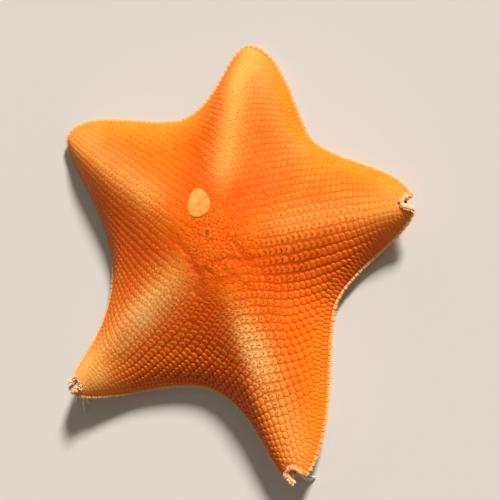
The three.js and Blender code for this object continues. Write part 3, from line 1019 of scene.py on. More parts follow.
def kept_clear():
    """Sites that keep the plates off the madreporite and the anus and inside the margin."""
    around = unit(np.arange(0, 360, 15))
    oval = around * [MADREPORITE["half_wide"] - 0.4, MADREPORITE["half_long"] - 0.4]
    oval = oval @ rotation(MADREPORITE["turn"])[:2, :2].T
    edge, out = edge_at(np.arange(0, PERIMETER, 1.2))
    return np.concatenate([
        *(lip_path(k, 25)[0] for k in LIPS),
        oval + [MADREPORITE["x"], MADREPORITE["y"]],
        around * ANUS["radius"] * 0.6 + [ANUS["x"], ANUS["y"]],
        edge + out * 0.5,
    ])


def plate_stands():
    """Roots of plates and marginal scales, the ways out along their strips, and which are scales."""
    points = plate_points()
    rows = marginal_rows()
    outward = np.concatenate([strip_direction(*points.T), rows[:, 2:]])
    on_row = np.arange(len(points) + len(rows)) >= len(points)
    points = np.concatenate([points, rows[:, :2]])
    kept = ~in_notch(*points.T, 0.3)
    return points[kept], outward[kept], on_row[kept]


def plate_outlines(points, outward, direction, crescent):
    """Radii of the upper plates, counted round from each plate's own direction."""
    lattice = lattice_share(*points.T)
    wide = wide_share(*points.T)
    within, between = (
        lerp(0.0, lerp(*FURROW[key], crescent), lattice) for key in ("within", "between")
    )
    radii = cell_outlines(
        np.concatenate([points, kept_clear()]), len(points), outward,
        within - WIDE_STRIPS["merge"] * wide, between + WIDE_STRIPS["furrow"] * wide,
        lerp(*CORNER_POWER, crescent),
    )
    lag = turn_between(azimuth_of(*direction.T), azimuth_of(*outward.T)) / 360 * PLATE_SIDES
    index = np.mod(np.arange(PLATE_SIDES)[None] + lag[:, None], PLATE_SIDES)
    low = index.astype(int) % PLATE_SIDES
    rows = np.arange(len(points))[:, None]
    return lerp(radii[rows, low], radii[rows, (low + 1) % PLATE_SIDES], index - low)


def plate_heights(points, crescent):
    """Heights of the plates' middles above the skin."""
    x, y = points.T
    height = lerp(PLATE_HEIGHT["flank"], PLATE_HEIGHT["crescent"], crescent) * relief_at(x, y)
    height = lerp(PLATE_HEIGHT["centre"], height, lattice_share(x, y))
    return height * (1 + 0.25 * shaded(x, y)) * rng.normal(1, 0.08, len(points))


def add_notch_grains(coat, points, direction, values):
    """The pale grains in the notches of crescents."""
    for across, back, size in NOTCH_GRAINS:
        spots = points - direction * back + turned(direction) * across
        spots = spots + rng.normal(0, 0.05, spots.shape)
        add_grains(coat, spots, direction, size, 0.1, under=0.0, **values)


def make_plates(material):
    """Plates, crescents and marginal scales of the upper side; returns what the gills go by."""
    points, outward, on_row = plate_stands()
    x, y = points.T
    belt = bare_belt(x, y)
    crescent = smoothstep(belt - 2, belt + 2, margin_distance(x, y)) * lattice_share(x, y)
    share = crescent[:, None]
    direction = normalized(outward * (1 - share) + down_the_flank(x, y) * share)
    direction = turned_by(direction, rng.normal(0, 1, len(points)) * lerp(*PLATE_TURN, crescent))
    radii = plate_outlines(points, outward, direction, crescent)
    values = {"tone": rng.uniform(0, 1, len(points)), **markings(x, y)}
    height = plate_heights(points, crescent)
    lap = (1 - crescent) * lattice_share(x, y) * ~on_row
    up = strip_side(x, y)
    owner = arm_frame(x, y)[0]
    for k in range(len(ARMS)):
        coat = Coat(f"plates_{k + 1}")
        use = owner == k
        add_plates(
            coat, skin_top, points[use], direction[use], radii[use], height[use],
            notch=crescent[use], lap=lap[use], up=up[use], under=0.0, **chosen_of(values, use),
        )
        use = use & (crescent > CRESCENT_FROM)
        add_notch_grains(coat, points[use], direction[use], chosen_of(values, use))
        coat.piece(material, "skin")
    return points[~on_row], direction[~on_row], radii[~on_row], crescent[~on_row]


PORE_GAP = 0.75  # between neighbouring skin gills
PORE_SIZE = (0.12, 0.17)
CENTRE_PORES = {"larger": 1.8, "tone": 0.76}  # how much larger and how dark they are in the middle
# The bent row of gills in a notch: how far behind the root it is, half its length, how far it is
# bent, its half-width, and how much its direction varies, in degrees.
GILL_ARC = {"behind": 0.3, "half": 0.52, "bow": 0.36, "radius": 0.155, "astray": 16}
ARC_STATIONS = (  # along it, and its share of the half-width
    (0.0, 0.5), (0.12, 0.95), (0.35, 1.0), (0.5, 1.05), (0.65, 1.0), (0.88, 0.95), (0.99, 0.5),
)


def pore_spots(hearts, points, direction, radii):
    """Where plates meet: beyond the four longest radii of each, and off the notches' hearts."""
    chosen = Chosen()
    chosen.add(hearts, np.zeros(len(hearts)))
    order = np.argsort(-radii, axis=1)[:, :4]
    rows = np.arange(len(points))[:, None]
    reach = (radii[rows, order] + 0.03)[..., None]
    corners = points[:, None] + plate_turns(direction, PLATE_SIDES)[rows, order] * reach
    corners = corners.reshape(-1, 2)
    chosen.add(corners, np.full(len(corners), PORE_GAP))
    spots = np.array(chosen.points)[len(hearts):]
    belt = bare_belt(*spots.T) - rng.uniform(-0.5, 2.5, len(spots))
    return spots[margin_distance(*spots.T) > belt]


def add_pores(coat, spots):
    """Single gills, larger and darker near the centre."""
    away = smoothstep(8, 22, np.hypot(*spots.T))
    size = rng.uniform(*PORE_SIZE, len(spots)) * lerp(CENTRE_PORES["larger"], 1, away)
    lie, tone = unit(rng.uniform(0, 360, len(spots))), rng.uniform(0, 1, len(spots))
    tone = np.maximum(0.9 * tone, CENTRE_PORES["tone"] * (1 - away))
    add_grains(coat, spots, lie, size, 0.12, tone=tone)


def add_gill_arcs(coat, hearts, way, longer):
    """The bent rows of gills in the crescents' notches."""
    flat = np.zeros((len(hearts), 1))
    bold = smoothstep(0.2, 0.9, relief_at(*hearts.T))
    more = 1 + WIDE_STRIPS["gills"] * wide_share(*hearts.T)
    half = GILL_ARC["half"] * (lerp(0.3, 1, bold) * more * longer)[:, None]
    start = hearts - GILL_ARC["behind"] * way - half * turned(way)
    slope = slope_normal(skin_top, *hearts.T)
    heading = np.c_[turned(way), flat]
    heading[:, 2] = -np.sum(heading[:, :2] * slope[:, :2], axis=1) / slope[:, 2]
    height = skin_top(*hearts.T) + 0.03 - half[:, 0] * heading[:, 2]
    radius = GILL_ARC["radius"] * lerp(0.65, 1, bold) * more
    add_spines(
        coat, np.c_[start, height], heading, 2 * half[:, 0], radius, stations=ARC_STATIONS, sides=6,
        bow=np.c_[way * GILL_ARC["bow"] * bold[:, None], flat], tone=bold,
    )


def make_papulae(material, points, direction, radii, crescent):
    """Soft dark skin gills: a bent row in the notch of each crescent, the others where plates meet."""
    notched = crescent > CRESCENT_FROM
    hearts = points[notched]
    way = turned_by(direction[notched], rng.normal(0, GILL_ARC["astray"], len(hearts)))
    longer = rng.uniform(0.7, 1.2, len(hearts))
    spots = pore_spots(hearts - 0.4 * way, points, direction, radii)
    spot_arm, heart_arm = arm_frame(*spots.T)[0], arm_frame(*hearts.T)[0]
    for k in range(len(ARMS)):
        coat = Coat(f"papulae_{k + 1}")
        add_pores(coat, spots[spot_arm == k])
        use = heart_arm == k
        add_gill_arcs(coat, hearts[use], way[use], longer[use])
        coat.piece(material, "skin")


# ---- Spines, and the fringe of the margin ----

SPINE_RADII = {  # of the spines of each kind
    "fringe": 0.23, "anus": 0.13, "lips": 0.12, "sole": 0.16, "combs": 0.14, "feelers": 0.24,
    "jaws": 0.2,
}
# Along a spinelet, and its share of the radius there.
SPINELET = ((0.0, 0.85), (0.35, 1.0), (0.8, 0.73), (0.96, 0.33))


def add_spines(
    coat, roots, heading, length, radius, side="top", places=None, stations=SPINELET, sides=5,
    bow=(0.0, 0.0, 0.0), **values,
):
    """Round spines from their roots, each along its heading and bent aside by bow in the middle."""
    count = len(roots)
    length, radius = (np.broadcast_to(value, count)[:, None, None] for value in (length, radius))
    bow = np.broadcast_to(bow, (count, 3))
    heading = normalized(heading)
    helper = np.where(np.abs(heading[:, 2:]) < 0.9, [[0, 0, 1.0]], [[1.0, 0, 0]])
    across = normalized(np.cross(heading, helper))
    other = np.cross(heading, across)
    turn = ring_turns(sides)
    cos, sin = np.cos(turn), np.sin(turn)
    ring = cos[None, :, None] * across[:, None] + sin[None, :, None] * other[:, None]

    def middle(along):
        straight = roots[:, None] + heading[:, None] * length * along
        return straight + bow[:, None] * 4 * along * (1 - along)

    rings = [middle(along) + ring * radius * wide for along, wide in stations]
    patch = np.concatenate([np.tile(np.c_[cos, sin], (len(stations), 1)), [[0, 0]]])
    places = unwrapped(roots, side) if places is None else places
    coat.add_copies(
        np.concatenate([*rings, middle(1)], axis=1),
        ring_faces(len(stations), sides, (False, True)),
        places[:, None] + ROOT_PATCH / 2 * patch[None],
        [*np.repeat([along for along, _ in stations], sides), 1.0], **values,
    )


FRINGE_ROWS = ((0.85, 1.9, 0.08), (0.35, 1.8, -0.12))  # share of the margin's height, length, lean
FRINGE_STEP = 1.6  # between neighbouring combs
FRINGE_COMB = (-0.35, -0.17, 0.17, 0.35)  # where the spinelets of a comb stand, as shares of the step
FRINGE_ROOT = 1.15  # how far inside the edge the spinelets stand


def make_fringe(material):
    """Combs of spinelets along the margin, in an upper and a lower row."""
    coat = Coat("fringe")
    count = round(PERIMETER / FRINGE_STEP)
    combs = np.arange(count) * PERIMETER / count
    for level, length, lean in FRINGE_ROWS:
        for place in FRINGE_COMB:
            edge, out = edge_at(combs + place * FRINGE_STEP + rng.normal(0, 0.03, count))
            clear = ~in_notch(*edge.T, 0.1)
            edge, out = edge[clear], out[clear]
            height = lerp(RIM_BOTTOM, RIM_TOP, level) + lift_at(*edge.T)
            heading = np.c_[out - turned(out) * place * 0.14, np.full(len(edge), lean)]
            add_spines(
                coat, np.c_[edge - out * FRINGE_ROOT, height], heading,
                length * rng.normal(1, 0.04, len(edge)), SPINE_RADII["fringe"],
                places=unwrapped(edge, "top"), tone=rng.uniform(0, 1, len(edge)),
                # painted light: where the fringe lies in the body's shadow it is made paler
                shade=shaded(*edge.T),
            )
    coat.piece(material, "skin")


# ---- Madreporite and anus ----


def stand_on_crown(x, y):
    """Point of the solids' upper surface, and the turn that stands things upright on it."""
    normal = slope_normal(crown, np.array([x]), np.array([y]))[0]
    upright = Vector((0, 0, 1)).rotation_difference(Vector(normal)).to_matrix()
    return np.array([x, y, crown(np.array([x]), np.array([y]))[0]]), np.array(upright)


def sieve_shape(sides, rings):
    """The sieve plate's rings of points, in a unit circle, and the depth of its grooves there."""
    turn = ring_turns(sides)
    share = np.sin(np.linspace(0, np.pi / 2, rings + 1)[1:])[:, None]
    wander = 0.5 * np.sin(9 * share + 3 * turn) + 0.35 * np.sin(17 * share - 5 * turn)
    grooves = 0.03 * np.sin(30 * turn + 2.2 * wander)
    grooves = grooves * smoothstep(0.15, 0.4, share) * smoothstep(1, 0.9, share)
    a, b = share * np.cos(turn), share * np.sin(turn)
    dimple = 0.14 * bell(np.hypot(a + 0.1, b - 0.25), 0.3)
    height = 0.3 * MADREPORITE["dome"] * np.sqrt(1 - share**2) ** 0.6 + grooves - dimple
    a = a * (1 - 0.22 * b) + 0.1 * bell(b + 0.35, 0.4) * np.maximum(a, 0) - 0.05 * bell(b - 0.9, 0.5)
    middle = 0.3 * MADREPORITE["dome"] - dimple[0].mean()
    return np.stack([a, b, height], axis=-1), grooves, middle


def make_madreporite(material):
    """The sieve plate: a smooth egg-shaped cushion with fine grooves that wander outwards."""
    sides, rings = 144, 40
    top, grooves, middle = sieve_shape(sides, rings)
    top = top * [MADREPORITE["half_wide"], MADREPORITE["half_long"], 1]
    foot = top[-1] * [0.97, 0.97, 1] - [0, 0, 0.8]
    points = np.concatenate([[[0, 0, middle]], top.reshape(-1, 3), foot, [[0, 0, -0.8]]])
    place, upright = stand_on_crown(MADREPORITE["x"], MADREPORITE["y"])
    points = place - upright @ [0, 0, 0.26] + points @ (upright @ rotation(MADREPORITE["turn"])).T
    coat = Coat("sieve_plate")
    raised = np.concatenate([[1], (0.5 + grooves / 0.06).ravel(), np.zeros(sides + 1)])
    coat.add(points, ring_faces(rings + 1, sides), raised=raised)
    coat.piece(material, "madreporite", "madreporite")


def make_anus(dark, pale):
    """A small dark pit in a ring of pale spinelets."""
    spot = np.array([[ANUS["x"], ANUS["y"]]])
    pit = Coat("anus")
    add_grains(pit, spot, np.array([[0.0, 1.0]]), ANUS["radius"], 0.05)
    pit.piece(dark, "skin")
    around = unit(np.arange(0, 360, 24))
    roots = spot + around * ANUS["radius"] * 1.3
    roots = np.c_[roots, skin_top(*roots.T) - 0.1]
    ring = Coat("anus_ring")
    heading = np.c_[around * -0.9, np.ones(len(around))]
    add_spines(ring, roots, heading, 0.42, SPINE_RADII["anus"], tone=0.5)
    ring.piece(pale, "skin")


# ---- Arm tips ----

# The pale fold round the open end of each curled tip: points of its path, each given by its distance
# across the axis and behind the tip and by its thickness; how far beside the axis the skin is open,
# and the length and the rows of its spinelets.
LIPS = {
    1: {
        "path": (
            (2.3, -0.5, 0.6), (2.9, 0.6, 0.8), (2.5, 1.9, 0.8), (1.3, 2.8, 0.7), (0.2, 2.1, 0.8),
            (-0.4, 0.9, 0.85), (-1.2, -0.4, 0.7),
        ),
        "aside": 0.9, "spines": 0.35, "rows": 1,
    },
    2: {
        "path": (
            (-0.6, -0.6, 0.45), (-1.8, 0.8, 0.6), (-2.1, 2.4, 0.6), (-0.9, 3.6, 0.6), (0.8, 3.4, 0.65),
            (1.9, 2.2, 0.95), (3.0, 0.4, 1.0),
        ),
        "aside": 0.4, "spines": 0.6, "rows": 2,
    },
    3: {
        "path": (
            (0.0, 2.1, 0.5), (1.1, 2.5, 0.75), (1.35, 3.8, 0.8), (0.2, 4.9, 0.8), (-1.1, 4.4, 0.8),
            (-1.4, 3.1, 0.75), (-0.6, 2.1, 0.5),
        ),
        "aside": 0.0, "spines": 1.2, "rows": 3,
    },
}
LIP_ROWS = ((0.5, 1.3, 1.0), (0.15, 0.8, 0.9), (-0.2, 0.2, 0.5))  # each row: outwards, lean, length
LIP_SPINES = 30  # in a row
LIP_SIDES = 12


def lip_path(k, count=61):
    """The fold round the open end of a curled tip: points of the plane and its thickness there."""
    given = np.array(LIPS[k]["path"])
    knots = np.concatenate([2 * given[:1] - given[1:2], given, 2 * given[-1:] - given[-2:-1]])
    where = np.linspace(0, len(given) - 1, count)
    low = np.minimum(where.astype(int), len(given) - 2)
    t = (where - low)[:, None]
    a, b, c, d = (knots[low + i] for i in range(4))
    across, behind, thick = (
        b + 0.5 * t * (c - a + t * (2 * a - 5 * b + 4 * c - d + t * (3 * (b - c) + d - a)))
    ).T
    axis = unit(ARMS[k]["azimuth"])
    plan = (ARMS[k]["reach"] - behind)[:, None] * axis + across[:, None] * turned(axis)
    return plan, thick


def in_notch(x, y, beyond):
    """Whether points lie within the fold round the open end of a curled tip, or nearly."""
    spots = np.stack([x, y], axis=-1)
    near = np.zeros(np.shape(x), bool)
    for k in LIPS:
        plan = lip_path(k)[0]
        half = len(plan) // 2
        one, other = plan[:half], plan[::-1][:half]
        away = np.linalg.norm(spots[:, None] - (one + other) / 2, axis=-1)
        near |= np.any(away < np.linalg.norm(one - other, axis=1) / 2 + beyond, axis=1)
    return near


def lip_swell(thick):
    """The fold's thickness, a little knobbly and drawn in at both ends."""
    wave = np.linspace(0, 2 * np.pi, len(thick))
    swell = thick * (1 + 0.08 * np.sin(5 * wave) + 0.06 * np.sin(9 * wave + 0.7))
    return swell * np.clip(np.sin(wave / 2) * 8, 0.5, 1)


def add_lip_spines(spines, lip, path, out, height):
    """Rows of spinelets that stand on a fold."""
    for outwards, lean, share in LIP_ROWS[:lip["rows"]]:
        where = np.sort(rng.uniform(1, len(path) - 2, LIP_SPINES)).astype(int)
        roots = path[where] + out[where] * outwards
        heading = np.c_[out[where] * lean, np.full(LIP_SPINES, 0.6)]
        heading = heading + rng.normal(0, 0.12, heading.shape)
        length = lip["spines"] * share * rng.uniform(0.75, 1.1, LIP_SPINES)
        tone = rng.uniform(0, 1, LIP_SPINES)
        roots = np.c_[roots, height[where]]
        add_spines(spines, roots, heading, length, SPINE_RADII["lips"], tone=tone)


def make_lips(material, spine_material):
    """Pale folds with spinelets round the notch in each curled tip."""
    coat, spines = Coat("lips"), Coat("lip_spinelets")
    around = ring_turns(LIP_SIDES)
    for k, lip in LIPS.items():
        path, thick = lip_path(k)
        way = -np.sign(np.cross(path[-1] - path[0], unit(ARMS[k]["azimuth"])))
        out = way * turned(normalized(np.gradient(path, axis=0)))
        level = skin_top(*(path - 0.3 * out).T) + 0.1
        swell = lip_swell(thick)[:, None]
        plan = path[:, None] + out[:, None] * (swell * np.cos(around))[..., None]
        height = level[:, None] + 0.85 * swell * np.sin(around)
        rings = np.concatenate([plan, height[..., None]], axis=-1)
        ends = np.c_[path[[0, -1]], level[[0, -1]]]
        points = np.concatenate([ends[:1], rings.reshape(-1, 3), ends[1:]])
        faces = ring_faces(len(path), LIP_SIDES)[:, ::int(way)]
        raised = np.r_[0.5, np.tile(0.5 - 0.5 * np.cos(around), len(path)), 0.5]
        coat.add(points, faces, raised=raised, tone=0.5)
        add_lip_spines(spines, lip, path, out, level + 0.6 * thick)
    coat.piece(material, "skin")
    spines.piece(spine_material, "skin")


def make_eyespots(material):
    """The red cushion of eyes at each arm's end."""
    sides, rings = 20, 12
    turn = ring_turns(sides)
    polar = (np.pi * np.arange(1, rings) / rings)[:, None]
    ball = [np.sin(polar) * np.cos(turn), np.sin(polar) * np.sin(turn), np.cos(polar) * np.ones(sides)]
    ball = np.concatenate([[[0, 0, 1]], np.stack(ball, axis=-1).reshape(-1, 3), [[0, 0, -1]]])
    x, y, z = ball.T
    for k, arm in enumerate(ARMS):
        behind, above = (NOTCH["length"] - 0.5, 2.3) if arm["lift"] else (1.1, 1.0)
        plan = on_axis(arm, arm["reach"] - behind)
        facets = 1 + 0.07 * np.sin(9 * x + k) * np.sin(9 * y) * np.sin(9 * z)
        points = EYESPOT_RADIUS * ball * facets[:, None]
        coat = Coat(f"eye_cushion_{k + 1}")
        coat.add(
            np.array([*plan, lift_at(*plan[:, None])[0] + above]) + points,
            ring_faces(rings - 1, sides), "bottom", raised=0.5,
        )
        coat.piece(material, "eyespot", f"eyespot_{k + 1}")


# ---- Underside ----

MOUTH_SPINES = 5  # on each side of a jaw
COMB_PITCH = 1.4  # between the combs along a groove
COMB = (-2, -1, 0, 1, 2)  # its spines, counted from the middle one
SOLE_SPACING = (1.3, 2.1)  # between the plates underneath, at the margin and well inside
SOLE_TUFT = ((-0.3, 0.1), (0.0, -0.15), (0.3, 0.1), (0.0, 0.35))  # spinelets of one: across, back
SOLE_PLATE = {"height": 0.2, "widest": 1.15, "furrow": 0.1, "corners": 7.0}


def outside_groove(x, y):
    """Distance from the nearest groove's edge."""
    _, across, share = groove_frame(x, y)
    return np.abs(across) - lerp(*GROOVE_HALF, share)


def free_below(x, y):
    """Whether the plates underneath may stand at each point."""
    free = (outside_groove(x, y) > 1.0) & (margin_distance(x, y) > 1.2)
    return free & (np.hypot(x, y) > MOUTH_RADIUS + 0.9)


def add_sole_tufts(tufts, points, out, size):
    """Short spinelets on each plate, which lean to the margin."""
    for across, back in SOLE_TUFT:
        roots = points + turned(out) * (across * 1.4 * size)[:, None]
        roots = roots - out * (back * 1.4 * size)[:, None]
        add_spines(
            tufts, np.c_[roots, skin_sole(*roots.T) - 0.12],
            np.c_[out + turned(out) * across, np.full(len(points), -0.42)],
            0.62 * size + 0.3, SPINE_RADII["sole"], "bottom", tone=rng.uniform(0, 1, len(points)),
        )


def make_sole(material, spine_material):
    """Plates underneath, each with a tuft of spinelets."""
    chosen = Chosen()
    spots = scattered(0.5, free_below)
    chosen.add(spots, 0.85 * size_inside(SOLE_SPACING, margin_distance(*spots.T)))
    points = np.array(chosen.points)
    lie = unit(azimuth_of(*points.T))
    furrow, power = (np.full(len(points), SOLE_PLATE[key]) for key in ("furrow", "corners"))
    radii = cell_outlines(points, len(points), lie, furrow, furrow, power)
    radii = np.minimum(radii, SOLE_PLATE["widest"])
    owner = arm_frame(*points.T)[0]
    out = down_the_flank(*points.T)
    for k in range(len(ARMS)):
        use = owner == k
        coat, tufts = Coat(f"sole_plates_{k + 1}"), Coat(f"sole_spinelets_{k + 1}")
        add_plates(
            coat, skin_sole, points[use], lie[use], radii[use], SOLE_PLATE["height"], side="bottom",
            tone=rng.uniform(0, 1, use.sum()), pale=0.0, red=0.0, margin=0.0, under=1.0,
        )
        coat.piece(material, "skin")
        add_sole_tufts(tufts, points[use], out[use], radii[use].mean(axis=1))
        tufts.piece(spine_material, "skin")


def along_grooves(pitch, start, stop_short):
    """Arm, distance along its axis and side for what stands in pairs along the grooves."""
    for arm in ARMS:
        for along in np.arange(start, arm["reach"] - stop_short, pitch):
            for side in (-1, 1):
                yield arm, along + (pitch / 2 if side > 0 else 0), side


def make_combs(material):
    """Combs of spines along both edges of each groove, leaning over it."""
    roots, headings, lengths = [], [], []
    for arm, along, side in along_grooves(COMB_PITCH, MOUTH_RADIUS + 1.2, NOTCH["length"] + 1):
        axis = unit(arm["azimuth"])
        half = lerp(*GROOVE_HALF, along / arm["reach"]) + 0.45
        for spine in COMB:
            plan = on_axis(arm, along + spine * 0.22, side * (half - 0.08 * spine**2))
            roots.append([*plan, sole(*plan[:, None])[0] + SOLE_DEPTH + 0.15])
            headings.append([*(-side * turned(axis) + 0.16 * spine * axis), -0.5])
            lengths.append(1.15 - 0.12 * abs(spine))
    coat = Coat("combs")
    tone = rng.uniform(0, 1, len(roots))
    roots, headings, lengths = np.array(roots), np.array(headings), np.array(lengths)
    add_spines(coat, roots, headings, lengths, SPINE_RADII["combs"], "bottom", tone=tone)
    coat.piece(material, "skin")


TUBE_FOOT = (  # along it from the root, and its share of the stalk's radius
    (0.0, 1.1), (0.15, 0.95), (0.4, 0.9), (0.62, 0.85), (0.74, 0.8), (0.8, 1.2), (0.86, 1.5),
    (0.95, 1.5), (0.99, 1.2),
)


def make_tube_feet(material):
    """Two rows of tube feet with suckers in each groove."""
    tops, bottoms = [], []
    for arm, along, side in along_grooves(FOOT["pitch"], MOUTH_RADIUS + 1.8, NOTCH["length"] + 1.2):
        apart = FOOT["apart"] * lerp(1, 0.6, along / arm["reach"])
        top = on_axis(arm, along, side * apart * 0.7)
        bottom = on_axis(arm, along + rng.uniform(-0.2, 0.2), side * apart + rng.uniform(-0.1, 0.1))
        tops.append([*top, skin_sole(*top[:, None])[0] + 0.3])
        bottoms.append([*bottom, sole(*bottom[:, None])[0] + FOOT["clear"]])
    tops, run = np.array(tops), np.array(bottoms) - np.array(tops)
    length = np.linalg.norm(run, axis=1)
    radius = FOOT["stalk"] * np.clip(length / (GROOVE_DEEP[0] + 0.7), 0.55, 1)
    coat = Coat("tube_feet")
    add_spines(
        coat, tops, run, length, radius, "bottom",
        stations=TUBE_FOOT, sides=10, tone=rng.uniform(0, 1, len(tops)),
    )
    coat.piece(material, "skin")


# The thin tube feet at the raised tips: across the axis, and how far out and aside they reach.
FEELERS = {
    2: ((0.3, 2.1, 0.6), (0.7, 1.7, 1.5), (-0.1, 1.6, -0.5)),
    3: ((0.5, 5.7, 4.7), (-0.4, 6.7, 1.6), (0.9, 2.9, 3.2), (0.2, 4.6, 1.3)),
}


def make_feelers(material):
    """The last, thin tube feet, which hang from the raised tips to the floor."""
    coat = Coat("feelers")
    for k, feet in FEELERS.items():
        arm = ARMS[k]
        for across, out, aside in feet:
            plan = on_axis(arm, arm["reach"] - NOTCH["length"] - 0.3, across)
            root = np.array([*plan, sole(*plan[:, None])[0] + 1.2])
            end = np.array([*on_axis(arm, arm["reach"] - 1.0 + out, across + aside), 0.35])
            run = end - root
            add_spines(
                coat, root[None], run[None], np.linalg.norm(run), SPINE_RADII["feelers"], "bottom",
                stations=TUBE_FOOT, sides=10, bow=[*unit(arm["azimuth"]) * 0.5, 0.45], tone=0.5,
            )
    coat.piece(material, "skin")


def add_half_jaw(coat, axis, side):
    """One of the two plates of a jaw: a tube of rings with rounded corners along the web's axis."""
    sides, rings = 16, 14
    reach = np.linspace(JAW["inner"], JAW["outer"], rings)
    share = (reach - JAW["inner"]) / (JAW["outer"] - JAW["inner"])
    half = JAW["half_width"] / 2 * np.sqrt(np.clip(share * 2.2 + 0.06, 0, 1)) * (1 - 0.3 * share**6)
    deep = (JAW["high"] - JAW["low"]) / 2 * np.sqrt(np.clip(share * 3 + 0.12, 0, 1))
    circle = np.array([np.cos(ring_turns(sides)), np.sin(ring_turns(sides))])
    ring = np.sign(circle) * np.abs(circle) ** 0.7
    across = side * (half + 0.03)[:, None] + half[:, None] * ring[0] * 0.97
    height = (JAW["high"] + JAW["low"]) / 2 + 0.25 + deep[:, None] * ring[1] * 0.86
    plan = axis * reach[:, None, None] + turned(axis) * across[..., None]
    points = np.concatenate([plan, height[..., None]], axis=-1)
    inner_end = points[0].mean(axis=0) - [*axis * 0.15, 0]
    points = np.concatenate([[inner_end], points.reshape(-1, 3), [points[-1].mean(axis=0)]])
    coat.add(points, ring_faces(rings, sides), "bottom", raised=0.3, tone=0.4)


def add_jaw_spines(coat, axis, side):
    """Spines along the inner end of half a jaw, which point into the mouth."""
    share = np.linspace(0, 1, MOUTH_SPINES)
    aside = turned(axis) * side
    start = JAW["inner"] + 0.25 + share * 2.2
    roots = axis * start[:, None] + aside * (0.35 + 0.95 * np.sqrt(share))[:, None]
    roots = np.c_[roots, np.full(MOUTH_SPINES, JAW["low"] + 0.75)]
    heading = -axis * (1 - 0.5 * share)[:, None] + aside * (0.2 + 0.7 * share)[:, None]
    heading = np.c_[heading, np.full(MOUTH_SPINES, -0.35)]
    length = 1.35 - 0.35 * share
    add_spines(coat, roots, heading, length, SPINE_RADII["jaws"], "bottom", sides=8, tone=0.6)


def make_jaws(material):
    """Five pairs of jaw plates round the mouth, with their spines."""
    for k, web in enumerate(WEBS):
        axis = unit(web["azimuth"])
        coat = Coat(f"mouth_plates_{k + 1}")
        for side in (-1, 1):
            add_half_jaw(coat, axis, side)
            add_jaw_spines(coat, axis, side)
        coat.piece(material, "jaws", f"jaw_{k + 1}")


# ---- Materials ----


class Nodes:
    """A material's node tree, built by short calls."""

    def __init__(self, name):
        self.material = bpy.data.materials.new(name)
        self.material.use_nodes = True
        self.tree = self.material.node_tree
        self.shader = self.tree.nodes["Principled BSDF"]

    def new(self, kind, inputs, **settings):
        """A node with inputs, which may be values or other nodes' outputs, and settings."""
        node = self.tree.nodes.new("ShaderNode" + kind)
        for key, value in settings.items():
            setattr(node, key, value)
        for key, value in inputs.items():
            self.feed(node.inputs[key], value)
        return node

    def feed(self, socket, value):
        if isinstance(value, bpy.types.NodeSocket):
            self.tree.links.new(value, socket)
        else:
            socket.default_value = value

    def value(self, name, most=1.0):
        """A named value of the mesh, or that share of it."""
        value = self.new("Attribute", {}, attribute_name=name).outputs["Fac"]
        return value if most == 1 else self.part(value, most)

    def part(self, value, share):
        """That share of a value."""
        return self.new("Math", {0: value, 1: share}, operation="MULTIPLY").outputs[0]

    def grain(self, kind, size_mm, inputs, **settings):
        """A procedural texture of that size, fixed to the piece."""
        place = self.new("TexCoord", {}).outputs["Object"]
        return self.new(kind, {"Vector": place, "Scale": 1 / (size_mm * MM), **inputs}, **settings)

    def noise(self, size_mm, detail=2.0):
        return self.grain("TexNoise", size_mm, {"Detail": detail}).outputs["Fac"]

    def beads(self, size_mm):
        """Distance from the nearest of many scattered points, for a granular surface."""
        return self.grain("TexVoronoi", size_mm, {}, feature="SMOOTH_F1").outputs["Distance"]

    def between(self, value, low, high, to_low=0.0, to_high=1.0):
        inputs = {"From Min": low, "From Max": high, "To Min": to_low, "To Max": to_high}
        inputs["Value"] = value
        return self.new("MapRange", inputs, interpolation_type="SMOOTHSTEP").outputs["Result"]

    def mix(self, share, a, b):
        """From colour a to colour b. The node's colour sockets are found by their numbers."""
        return self.new("Mix", {0: share, 6: a, 7: b}, data_type="RGBA").outputs[2]

    def mottle(self, size_mm, detail, a, b, most=1.0):
        """One colour with clouds of another one."""
        return self.mix(self.between(self.noise(size_mm, detail), 0.3, 0.7, 0.0, most), a, b)

    def bump(self, height, distance_mm, strength=0.5):
        inputs = {"Height": height, "Distance": distance_mm * MM, "Strength": strength}
        return self.new("Bump", inputs).outputs["Normal"]

    def set(self, **inputs):
        for key, value in inputs.items():
            self.feed(self.shader.inputs[key.replace("_", " ")], value)
        return self.material


def linear(value):
    value /= 255
    return value / 12.92 if value <= 0.04045 else ((value + 0.055) / 1.055) ** 2.4


def colour(red, green, blue):
    """Linear colour from a screen's values from 0 to 255."""
    return (linear(red), linear(green), linear(blue), 1.0)


ORANGE = colour(240, 114, 10)
PALE = colour(252, 181, 88)
PALEST = colour(255, 208, 132)
RED = colour(228, 83, 6)
YELLOW = colour(244, 125, 16)
FURROW_RED = colour(220, 74, 4)
DEEP_FURROW = colour(220, 72, 4)
# painted shade: the furrows' colour on flanks turned from the light
SHADED_FURROW = colour(188, 50, 2)
CREAM = colour(234, 172, 96)
GILL = colour(206, 74, 8)
DEEP_GILL = colour(176, 50, 4)
UNDER = colour(236, 170, 96)
SIEVE = colour(238, 164, 84)
SIEVE_DARK = colour(222, 132, 54)


def body_colour(nodes):
    """The colours that skin and plates share."""
    tone = nodes.mix(nodes.value("margin"), ORANGE, YELLOW)
    # red: the real redder valleys and middle, with painted shade on lower flanks turned from the light
    # and in the folds
    tone = nodes.mix(nodes.value("red"), tone, RED)
    # pale: the ridge's own paler colour, moved towards the lit side as painted highlight
    tone = nodes.mix(nodes.value("pale"), tone, PALE)
    # patch: the real pale patches, and painted light on the fourth arm's curled tip
    tone = nodes.mix(nodes.value("patch", 0.6), tone, PALEST)
    blotch = nodes.between(nodes.noise(9, 3), 0.35, 0.7)
    tone = nodes.mix(nodes.part(blotch, 0.22), tone, RED)
    return nodes.mix(nodes.value("under"), tone, UNDER)


